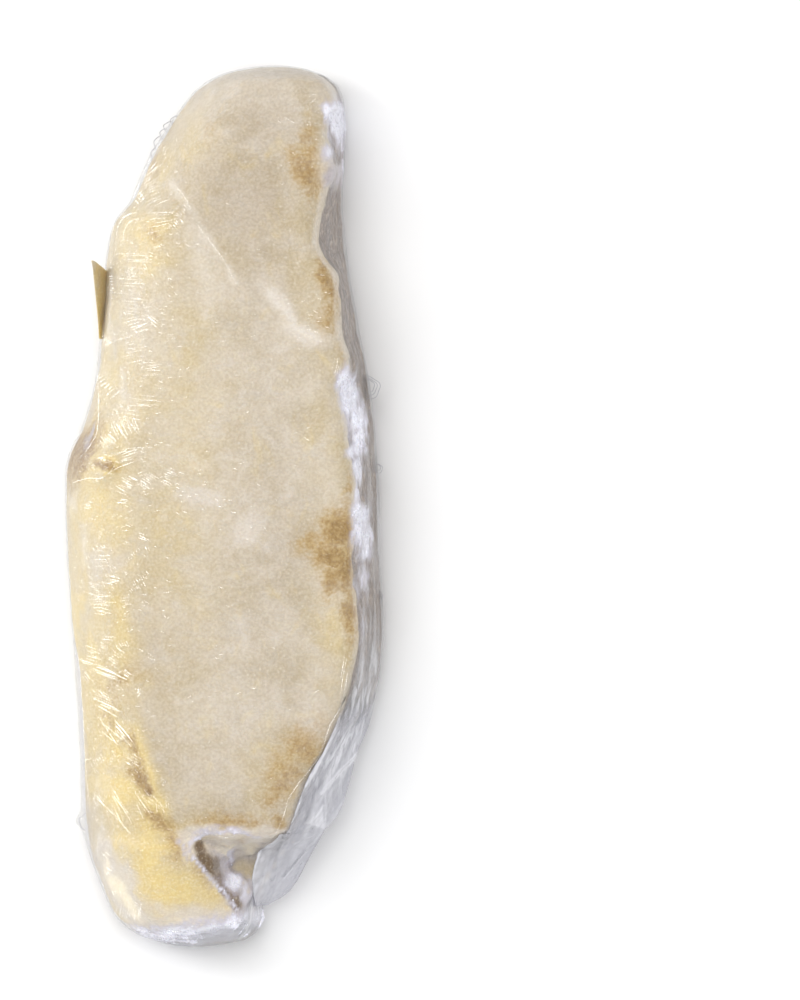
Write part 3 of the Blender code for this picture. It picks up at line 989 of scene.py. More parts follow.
def flesh_material():
    """Cream flesh with every zone laid over it as a layer of colour."""
    tree = Tree("cod_flesh_frozen")
    clouds = tree.noise(9.0, 4.0, distortion=0.6)
    mottle = tree.noise(2.2, 4.0)
    grain = tree.noise(0.7, 3.0)

    def rough(name, mottled):
        """A zone whose border is broken up by the mottle."""
        return tree.plus(tree.attribute(name), tree.times(mottle, mottled))

    def part(value, low, high, share):
        """A mask that reaches only a share of 1."""
        return tree.times(tree.between(value, low, high), share)

    haze = tree.noise(7.0, 5.0, distortion=1.2)
    stain = tree.noise(5.5, 4.0, (1.0, 0.7, 1.0), 0.8)
    yellow = tree.times(tree.attribute("yellow"), tree.between(clouds, 0.25, 0.75))
    yellow = tree.plus(yellow, tree.times(tree.attribute("yellow"), 0.60), True)
    brown = tree.plus(rough("brown", 0.9), tree.times(grain, 0.35))
    near_brown = tree.between(tree.attribute("brown"), 0.02, 0.35)
    pale = rough("pale", 0.6)
    scales = tree.between(tree.noise(2.0, 6.0, SKIN_STRETCH), 0.35, 0.65)
    flecks = tree.between(tree.noise(0.8, 4.0, SKIN_STRETCH), 0.50, 0.72)
    skin_tone = tree.mix(flecks, tree.mix(scales, SKIN_DARK, SKIN_GREY), SKIN_LIGHT)
    frost = tree.plus(rough("frost", 0.5), tree.times(grain, 0.35))
    white_frost = tree.between(frost, 0.82, 1.30)
    specks = tree.add("ShaderNodeTexVoronoi", {"Vector": tree.place(), "Scale": 0.62}).outputs["Distance"]
    specks = tree.times(tree.between(specks, 0.26, 0.10), tree.between(clouds, 0.42, 0.62))
    # Painted sparkle: tiny bright dots stand for glints of light on ice, with more of them in the yellow
    # flesh.
    painted_sparkle = tree.plus(0.10, tree.times(tree.attribute("yellow"), 0.32))
    painted_sparkle = tree.times(tree.between(tree.noise(0.42, 2.0), 0.56, 0.70), painted_sparkle, True)
    layers = (
        (tree.between(clouds, 0.35, 0.68), CREAM_DEEP),
        (part(haze, 0.52, 0.72, 0.50), ICE_PALE),
        (part(stain, 0.55, 0.75, 0.30), STRAW),
        (yellow, STRAW),
        (tree.times(tree.attribute("shadow"), 0.20), DIM),
        (tree.times(tree.between(brown, 0.62, 1.30), near_brown), OCHRE),
        (tree.times(tree.between(brown, 0.95, 1.75), near_brown), BROWN_FLESH),
        (part(pale, 0.35, 1.25, 0.85), ICE_PALE),
        # Painted light: where the paleness zone is strongest, the flesh turns bright cream, so dim slopes
        # look lit.
        (tree.between(pale, 1.35, 2.15), LIT_CREAM),
        (tree.between(rough("skin", 0.3), 0.45, 0.80), skin_tone),
        (tree.between(rough("lilac", 0.6), 0.55, 1.10), LILAC_GREY),
        (tree.between(rough("membrane", 0.5), 0.50, 1.05), MEMBRANE_BROWN),
        (part(frost, 0.50, 1.00, 0.85), FROST_LILAC),
        (white_frost, FROST_WHITE),
        (tree.times(specks, 0.22), SALT_SPECKS),
        (painted_sparkle, PAINTED_SPARKLE),
    )
    colour = CREAM
    for mask, paint in layers:
        colour = tree.mix(mask, colour, paint)
    colour = tree.mix(part(grain, 0.35, 0.65, 0.28), colour, BLACK, "SOFT_LIGHT")
    height = tree.plus(tree.times(mottle, 0.40), tree.times(grain, 0.35))
    return tree.finish(
        tree.principled(
            Base_Color=colour,
            Roughness=tree.plus(0.42, tree.times(white_frost, 0.35)),
            Normal=tree.bump(height, 0.5, 0.6 * MM),
            Subsurface_Weight=0.12,
            Subsurface_Radius=(1.0, 0.7, 0.4),
            Subsurface_Scale=2.5 * MM,
        )
    )


flesh = flesh_material()
fish.data.materials.append(flesh)
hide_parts("cod_loin")
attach(fish, "root")
print("flesh nodes", len(flesh.node_tree.nodes))

# %% [markdown]
# ## The free leaf of belly skin
#
# Halfway up the belly side a thin leaf of skin stands off the fish, pointed at its top.
# It is a short loft of flat sections, thin enough to cast its own shadow.

# %% Belly leaf
LEAF_TOP = 0.779  # where the leaf begins and ends, as shares of the length
LEAF_FOOT = 0.690
LEAF_STEPS = 30
LEAF_REACH = 3.1 * MM
LEAF_HALF_THICKNESS = 0.40 * MM


def edge_at(share, side):
    """The loin's left (1) or right (2) edge at shares of the length."""
    shares, *edges = ribs_at(np.linspace(0.3, len(OUTLINE) + 0.7, 900))
    return np.interp(share, shares, edges[side - 1])


def leaf_rings():
    """Flat sections from the leaf's free top to its foot, which runs into the fish."""
    rings = []
    for down in np.linspace(0.0, 1.0, LEAF_STEPS + 1):
        along = LEAF_TOP + (LEAF_FOOT - LEAF_TOP) * down
        edge = float(edge_at(along, 1))
        y = (along - 0.5) * LENGTH
        rim = Vector((edge - LEAF_REACH * (1.0 - down) ** 1.1 - 0.3 * MM, y, (20.5 - 6.5 * down) * MM))
        root = Vector((edge + 1.3 * MM, y - 1.8 * MM * (1.0 - down), 6.5 * MM))
        root = rim.lerp(root, min(1.0, 0.10 + down / 0.10))
        slant = (rim - root).normalized()
        thick = Vector((slant.z, 0.0, -slant.x)) * LEAF_HALF_THICKNESS
        middle = rim.lerp(root, 0.5) + thick * (1.2 * math.sin(math.pi * min(1.0, 1.5 * down)))
        front = [root + thick, middle + thick, rim + 0.5 * thick]
        back = [rim - 0.5 * thick, middle - thick, root - thick]
        rings.append([tuple(point) for point in front + back])
    return np.array(rings)


leaf = mesh_from("belly_leaf", *closed_loft(leaf_rings()))
turned_out(leaf)
round_leaf = leaf.modifiers.new("Round", "SUBSURF")
round_leaf.levels = 2
round_leaf.render_levels = 2
with_modifiers_applied(leaf)
leaf.data.shade_smooth()
leaf_points = points_of(leaf)
tone = soft_noise(leaf_points * (1.0, 0.3, 1.0), 2.0 * MM, 71)
inward = fade(leaf_points[:, 0] - edge_at(leaf_points[:, 1] / LENGTH + 0.5, 1), -3.6, 3.6)
# Painted shade: the leaf darkens towards its root, in the gap by the fish, and grows lighter towards its free
# edge. Its middle is browner.
store(leaf, "brown", 0.02 + 0.16 * inward * (1.0 - inward) * 4.0 + 0.12 * tone)
store(leaf, "yellow", np.full(len(leaf_points), 0.7))
store(leaf, "pale", 0.95 - 0.9 * inward + 0.25 * tone)
leaf.data.materials.append(flesh)
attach(leaf, "root")
print("leaf", len(leaf.data.polygons), "faces")

# %% [markdown]
# ## The film that clings to the fish
#
# Shrink film follows the fish closely, spans small hollows and gathers into fine
# wrinkles. It is the same loft a little further out, evened and thickened to a real
# wall, so that light meets two surfaces, as in a real bag.

# %% Film wrap
# White blotches where the film stands off: place across and along, half width, half
# length in millimetres, turn in degrees, strength.
BLOTCHES = (
    (-27.3, 39.2, 1.4, 2.2, 0, 0.55),
    (-28.2, 30.2, 1.5, 3, 0, 0.4),
    (-27.6, 26.6, 1, 2, 0, 0.35),
    (-13.2, 38.6, 0.7, 0.6, 0, 0.5),
    (-23.4, 18.8, 1.8, 3.4, 20, 0.28),
    (-27, 15.4, 1.6, 1.9, 0, 0.3),
    (-21.5, 12, 2.8, 0.6, 15, 0.35),
    (-23.4, 63.6, 1.1, 2.2, 0, 0.42),
    (-16.5, 43.8, 0.8, 1.8, 50, 0.28),
    (-29.4, -65.3, 0.9, 0.9, 0, 0.85),
    (-28.4, -67, 0.6, 1.4, 30, 0.5),
    (-26.6, -85.9, 1, 2, 25, 0.45),
    (-35.4, 0.2, 0.9, 2.2, 0, 0.6),
    (-19.6, -43.4, 0.9, 0.6, 40, 0.45),
    (-12, 84, 1, 1.4, 0, 0.3),
    (24.9, 84, 2, 2.4, 0, 0.25),
    (28.6, 85, 1.2, 6, 0, 0.25),
)
# Where the film leaves the fish along its right shoulder, down to the notch.
SHOULDER_LINE = (
    (31.3, -35.2), (29.8, -42.5), (27.2, -48.1), (25.1, -51.7), (23.2, -57.7), (20.5, -61.8), (17.8, -65.1),
    (15.8, -68.2), (14.4, -72.5), (12.4, -76.9), (8.9, -80.8), (7.6, -84.7), (6.8, -88.4),
)
# Soft bands along folds: half width in millimetres, strength, path.
BANDS = (
    (1, 0.62, ((-12, 75.8), (-9, 71.8), (-6.6, 68.6))),
    (0.75, 0.5, ((-6.6, 68.6), (-3.8, 63.3), (-0.2, 58.6), (3.3, 52.2))),
    (2.6, 0.28, ((-7, 66), (-6.6, 60), (-3, 54))),
    (1.6, 0.14, ((-3, 52), (-3, 44), (0, 38))),
    (1.2, 0.38, ((11, 50), (14.5, 45.5), (17.5, 42), (22, 40))),
    (0.5, 0.38, ((-27.2, 68.6), (-25, 68.9), (-22.8, 68.6), (-21.7, 66.5))),
    (0.4, 0.34, ((-26.2, 66), (-26.6, 60), (-26.5, 50), (-27, 40))),
    (0.5, 0.4, ((-23.6, 31.5), (-23.5, 24))),
    (0.5, 0.34, ((-32.6, -4), (-32.6, -13))),
    (0.35, 0.65, SHOULDER_LINE[:5]),
    (0.25, 0.6, ((-28.2, -74.8), (-29.7, -80), (-29.4, -82.6))),
)
GLEAM_SHARE = 0.063  # how much of the film's light a full blotch takes


def tail_end(x, y, torn):
    """1 on the film that closes the tail end, with a torn border."""
    return fade(-y + 0.2 * x - torn, 98.2, 3.0)


def film_gleam(points):
    """How much of the clinging film gleams at its points."""
    x, y, _ = points.T
    torn = 0.6 * MM * noise_pair(points, 2.2 * MM, 37)
    gleam = ovals(x + torn[0], y + torn[1], BLOTCHES) * (0.75 + 0.5 * soft_noise(points, 1.2 * MM, 39))
    for half_width, strength, path in BANDS:
        away = distance_to_path(x + 0.2 * torn[0], y + 0.2 * torn[1], path)
        gleam = np.maximum(gleam, strength * bell(away, half_width))
    return np.clip(GLEAM_SHARE * np.maximum(gleam, 2.2 * tail_end(x, y, 1.5 * torn[0])), 0.0, 1.0)


def film_milk(points, low_wall):
    """How white the clinging film is at its points: at the tail end, and on the low wall."""
    x, y, _ = points.T
    end = tail_end(x, y, 0.9 * MM * rough_noise(points, 2.2 * MM, 37))
    end = end * (0.85 + 0.3 * soft_noise(points, 1.6 * MM, 36))
    return np.clip(0.22 * np.maximum(end, low_wall), 0.0, 1.0)


FILM_VOXEL = 0.98 * MM
FILM_THICKNESS = 0.08 * MM
FILM_LIFT = 0.42  # in millimetres
FILM_NOTCH_LIP = 8.0 * MM
BUBBLE = (-33.4, -74.6, 12.0)  # a bubble in the film on the belly side, in millimetres
BUBBLE_RADIUS = 2.1
BUBBLE_HEIGHT = 1.7 * MM
wrap = loin_loft("film_wrap", NOTCH_FLOOR + 3.5 * MM, FILM_NOTCH_LIP)
evened(wrap, FILM_VOXEL, 5)
points = points_of(wrap)
normals = normals_of(wrap)
x, y, z = points.T
belly_band = fade(-x, 12.0, 10.0)
wall_band = fade(behind_skin_line(points), 0.0, 2.0)
tension = 0.10 * rough_noise(points * (0.35, 1.0, 1.0), 2.4 * MM, 31, 2) * belly_band
tension += 0.22 * rough_noise(points * (1.0, 0.22, 0.6), 2.2 * MM, 32, 2) * wall_band
tension += 0.06 * rough_noise(points, 5.0 * MM, 33, 2)
move_points(wrap, points + normals * ((tension + FILM_LIFT) * lifted_off(z) * MM)[:, None])
moved = points_of(wrap)
away = np.linalg.norm((moved - np.array(BUBBLE) * MM) * (1.0, 1.0, 0.7), axis=1)
bubble = BUBBLE_HEIGHT * bell(away, BUBBLE_RADIUS)
move_points(wrap, moved + np.array([-1.0, 0.0, 0.2]) * bubble[:, None])
low_wall = wall_band * fade(-y, 24.0, 22.0)
middle_wall = wall_band * fade(-y, -22.0, 16.0)
store(wrap, "streak", 0.03 * wall_band + 0.09 * middle_wall + 0.26 * low_wall)
store(wrap, "milk", film_milk(points_of(wrap), low_wall))
store(wrap, "gleam", film_gleam(points_of(wrap)))
wall = wrap.modifiers.new("Wall", "SOLIDIFY")
wall.thickness = FILM_THICKNESS
wall.offset = -1.0
with_modifiers_applied(wrap)
print("film wrap", len(wrap.data.polygons), "faces")

# %% [markdown]
# ## Clear film
#
# A clear film is mostly a hole for light: it lets the picture behind it through, and it mirrors a little,
# most at a glancing angle. Mixing a transparent with a glossy shader by the Fresnel term gives just that.
# Haze, streaks and milkiness make the film whiter where it is frosted or folded, and "gone" lets it fade out.
# On the loose film that white also holds painted reflection, along its creases and on the facet by its peak.
# A gleam is a patch of tiny folds that mirror the left lamp. Their slope is given as a fixed normal, so that
# the patch shines from above, and hardly shows from elsewhere.

# %% Film materials
LAMP_SLOPE = (-0.50, 0.185, 0.845)  # a surface that leans this way mirrors the left lamp upwards


def lamp_mirror(tree, colour, roughness):
    """A shader for folds that lean so as to mirror the left lamp."""
    values = {"Color": (*colour, 1.0), "Roughness": roughness, "Normal": tree.towards(LAMP_SLOPE)}
    return tree.add("ShaderNodeBsdfGlossy", values)


def film_material(name, haze, tint, white, mirror, wrinkle, stretch):
    """Clear film. Its points say where it is streaky, milky or gleaming, where it carries painted reflection,
    and where it fades out.
    """
    tree = Tree(name)
    fine = tree.noise(0.9, 3.0, stretch)
    coarse = tree.noise(3.5, 2.0, stretch)
    bump = tree.bump(tree.plus(tree.times(fine, 0.5), coarse), wrinkle, 0.8 * MM)
    fresnel = tree.add("ShaderNodeFresnel", {"IOR": 1.5, "Normal": bump}).outputs[0]
    cloud = tree.between(tree.plus(tree.times(fine, 0.6), coarse), 0.72, 1.15)
    lines = tree.between(tree.noise(1.4, 3.0, (1.0, 0.09, 0.35), 0.3), 0.46, 0.62)
    cover = tree.plus(tree.times(fresnel, mirror), tree.times(cloud, haze))
    cover = tree.plus(cover, tree.times(lines, tree.attribute("streak")))
    # On the loose film this white also holds painted reflection along the creases and on one facet.
    cover = tree.plus(cover, tree.attribute("milk"), True)
    gone = tree.attribute("gone")
    cover = tree.times(cover, tree.math("SUBTRACT", 1.0, gone))
    clear = tree.add("ShaderNodeBsdfTransparent", {"Color": tree.mix(gone, tint, (1.0, 1.0, 1.0))})
    white = (*white, 1.0)
    gloss = tree.principled(Base_Color=white, Roughness=0.2, Specular_IOR_Level=0.8, Normal=bump)
    gleam = lamp_mirror(tree, (0.95, 0.94, 0.92), 0.36)
    return tree.finish(tree.blend(tree.attribute("gleam"), tree.blend(cover, clear, gloss), gleam))


cling = film_material(
    "film_clinging",
    haze=0.05,
    tint=(0.99, 0.99, 0.99),
    white=(0.84, 0.84, 0.87),
    mirror=0.13,
    wrinkle=0.55,
    stretch=(0.5, 1.0, 1.0),
)
wrap.data.materials.append(cling)
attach(wrap, "root")
print("film materials ready")

# %% [markdown]
# ## The loose film by the notch
#
# Near the tail the film runs straight from the shoulder to a hem beside the fish, and bridges the notch. It
# is lofted over the same shares of the length as a closed pocket: down the fish's side, out to the hem, and
# back over the top. Creases are paths in the plan that push the top sheet up along their length. The sheet is
# whitened in milky streaks, and with painted reflection along its creases and on the facet by its peak.
# Towards the head the sheet fades out into the film that clings to the fish.

# %% Loose film
# The hem: share of the length, place across and height in millimetres.
HEM = (
    (0.046, 10.5, 7),
    (0.054, 13.4, 8),
    (0.062, 15.6, 8.8),
    (0.075, 17.6, 10),
    (0.103, 20.6, 11.5),
    (0.132, 23.9, 12.5),
    (0.146, 26.6, 12.2),
    (0.160, 28.2, 12),
    (0.190, 30, 11),
    (0.220, 31.6, 10),
    (0.250, 34.3, 8.5),
    (0.285, 36, 7),
)
# Where the film leaves the fish to bridge the notch, in the same measures.
SPAN = (
    (0.046, 7.2, 17),
    (0.064, 6.6, 20),
    (0.085, 6.9, 22.5),
    (0.108, 8.6, 26),
    (0.131, 13.2, 30.5),
)
# Each crease: its path and its half width in millimetres, and how high it stands.
CREASES = (
    (((32, -58.4), (27.6, -62.6), (23.2, -67.5)), 0.55, 1.2),
    (((24.2, -67.2), (24.4, -71.5), (23.9, -75.9)), 0.4, 0.8),
    (((23.5, -70.5), (19.5, -74.6)), 0.4, 0.7),
    (((19.5, -74.6), (23.8, -76.3)), 0.35, 0.6),
    (((23.7, -76.5), (16.8, -79.6)), 0.3, 0.6),
    (((23.7, -76.5), (19, -82), (14.4, -87.7)), 0.3, 0.7),
    (((17.8, -66.8), (18.5, -68.8), (17.1, -71.9), (15.1, -74.8)), 0.35, 0.7),
    (((12, -78.5), (10, -84), (9.2, -91.5)), 0.8, 0.5),
    (((15.6, -74.5), (13.6, -81), (11.9, -89)), 0.6, 0.45),
    (((31.1, -40), (26.2, -53.2), (22.4, -60.9), (19.6, -65.5)), 0.4, 0.8),
    (((33.5, -42), (29.8, -51.9), (25.5, -59.7)), 0.35, 0.75),
    (((35, -44), (31.8, -56.2)), 0.3, 0.7),
    (((29.6, -44), (25, -53.2), (21.6, -59)), 0.3, 0.7),
)
# Painted reflection: the facet by the peak is whitened as if it mirrored the light. The clear facets keep
# almost no white.
PEAK_FACET = ((23.5, -70.5), (19.5, -74.6), (23.9, -76.3))
CLEAR_FACETS = (
    ((23.7, -76.5), (13.4, -88.3), (19.9, -85)),
    ((32.5, -60), (25.5, -67.5), (24.4, -74.5), (29.5, -68)),
)
GRAIN_TURN = math.radians(23.0)  # how far the sheet's streaks lean from the loin's length
WEB_ROWS = 220
SHEET_POINTS = 60
SIDE_POINTS = 14
WEB_CLEARANCE = 0.45 * MM


def web_section(share):
    """One section of the loose film, as rows of (x, y, z)."""
    y = (share - 0.5) * LENGTH
    left, right = float(edge_at(share, 1)), float(edge_at(share, 2))
    reach, hem_height = (float(v[0]) * MM for v in table_at(HEM, np.array([share])))
    reach = max(reach, right + WEB_CLEARANCE + 0.2 * MM)
    hem = np.array([reach, hem_height])
    wall = float(wall_width(np.array([share]), np.array([left]), np.array([right]))[0])
    start_x, start_z = right - wall - 0.6 * MM, 0.0
    if share < SPAN[-1][0]:  # here the film bridges the notch
        start_x, start_z = (float(v[0]) * MM for v in table_at(SPAN, np.array([share])))
    ones = np.ones(SIDE_POINTS)
    side_x = start_x + (right - start_x) * np.sin(0.5 * math.pi * np.linspace(0.0, 1.0, SIDE_POINTS))
    side_z = top_height(share * ones, left * ones, right * ones, side_x, NOTCH_FLOOR + 1.0 * MM)
    run = np.gradient(side_x), np.gradient(side_z)
    size = np.hypot(*run)
    side_x = side_x - run[1] / size * WEB_CLEARANCE
    side_z = side_z + run[0] / size * WEB_CLEARANCE
    start = np.array([side_x[0], max(start_z, side_z[0] + 0.25 * MM)])
    out = np.linspace(0.0, 1.0, SHEET_POINTS)[:, None]
    sheet = hem + (start - hem) * out
    sheet = sheet - np.sin(math.pi * out) * np.array([0.35 * MM, 0.5 * MM])
    clear = np.interp(sheet[:, 0], side_x, side_z, left=0.0, right=0.0)
    inside = sheet[:, 0] < side_x[-1]
    sheet[:, 1] = np.where(inside, np.maximum(sheet[:, 1], clear + 0.25 * MM), sheet[:, 1])
    foot = np.array([[right + WEB_CLEARANCE, 2.2 * MM]])
    low = hem + (foot - hem) * np.linspace(0.12, 0.88, 6)[::-1][:, None]
    ring = np.vstack([np.stack([side_x, side_z], axis=-1), foot, low, sheet])
    return np.stack([ring[:, 0], np.full(len(ring), y), ring[:, 1]], axis=-1)


def creased(points, weight):
    """Raises points along the creases and wrinkles them a little."""
    x, y, _ = points.T
    lift = 0.25 * rough_noise(points * (1.0, 0.6, 1.0), 2.6 * MM, 41, 2)
    for path, half_width, height in CREASES:
        away = distance_to_path(x, y, path) / (1.6 * half_width * MM)
        lift = lift + height * np.exp(-np.abs(away) ** 1.3)
    moved = points.copy()
    moved[:, 2] += lift * weight * MM
    return moved


def web_milk_and_sheen(points, weight):
    """How white the loose film is: milky streaks, a band along the shoulder, and painted reflection along its
    creases and on the facet by its peak.
    """
    x, y, _ = points.T
    c, s = math.cos(GRAIN_TURN), math.sin(GRAIN_TURN)
    grain_place = np.stack([x * c - y * s, 0.10 * (x * s + y * c), 0.0 * x], axis=-1)
    streaks = rough_noise(grain_place, 2.0 * MM, 44, 3)
    clear = [smooth_step(depth_inside(x, y, facet) / (0.8 * MM) + 0.5) for facet in CLEAR_FACETS]
    milk = np.clip(0.12 + 0.42 * streaks, 0.02, 0.8) * (1.0 - 0.85 * np.max(clear, axis=0))
    milk = milk * (1.0 - 0.5 * fade(-y, 72.0, 8.0))
    # Painted reflection: the creases are whitened as if they caught the light.
    for path, half_width, height in CREASES:
        milk = np.maximum(milk, 0.75 * height**2 * bell(distance_to_path(x, y, path), half_width))
    away = distance_to_path(x, y, SHOULDER_LINE)
    milk = np.maximum(milk + 0.28 * bell(away, 3.15), 0.75 * bell(away, 0.45))
    # Painted reflection on the facet by the peak.
    facet = smooth_step(depth_inside(x, y, PEAK_FACET) / (0.6 * MM) + 0.5)
    milk = np.maximum(milk, 0.65 * facet)
    grain = 0.75 + 0.35 * soft_noise(points, 1.3 * MM, 43)
    return np.clip(milk * grain, 0.0, 1.0) * (weight > 0.0)


shares = np.linspace(HEM[0][0], HEM[-1][0], WEB_ROWS)
rings = np.array([web_section(share) for share in shares])
sheet_weight = np.zeros(rings.shape[1])
sheet_weight[-SHEET_POINTS:] = np.sin(math.pi * np.linspace(0.0, 1.0, SHEET_POINTS)) ** 0.5 + 0.02
end_weight = smooth_step(np.minimum(shares - shares[0], shares[-1] - shares) / 0.02)
weight = (end_weight[:, None] * sheet_weight).ravel()
rings = creased(rings.reshape(-1, 3), weight).reshape(rings.shape)
web = mesh_from("film_web", *closed_loft(rings))
store(web, "weight", np.append(np.tile(sheet_weight, len(shares)), (0.0, 0.0)))
turned_out(web)
web.data.shade_smooth()
points = points_of(web)
weights = read_back(web.data.attributes["weight"].data, "value", 1)[:, 0]
store(web, "milk", web_milk_and_sheen(points, weights))
store(web, "streak", 0.25 * (weights > 0.0) * fade(points[:, 1], -74.0, 12.0))
store(web, "gone", fade(points[:, 1], -54.0, 9.0))
loose = film_material(
    "film_loose",
    haze=0.08,
    tint=(0.84, 0.84, 0.87),
    white=(0.70, 0.70, 0.75),
    mirror=0.35,
    wrinkle=0.6,
    stretch=(1.0, 0.5, 1.0),
)
web.data.materials.append(loose)
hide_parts("loose_film")
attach(web, "root")
print("loose film", len(web.data.polygons), "faces")

# %% [markdown]
# ## Wrinkles in the film
#
# The fine white lines on a shrink pack are tiny folds that catch the light. They come in
# combs: a handful of nearly parallel strokes side by side, drawn by the pull of the film.
# Every row below is one comb. Between the combs, a few short wrinkles are scattered.

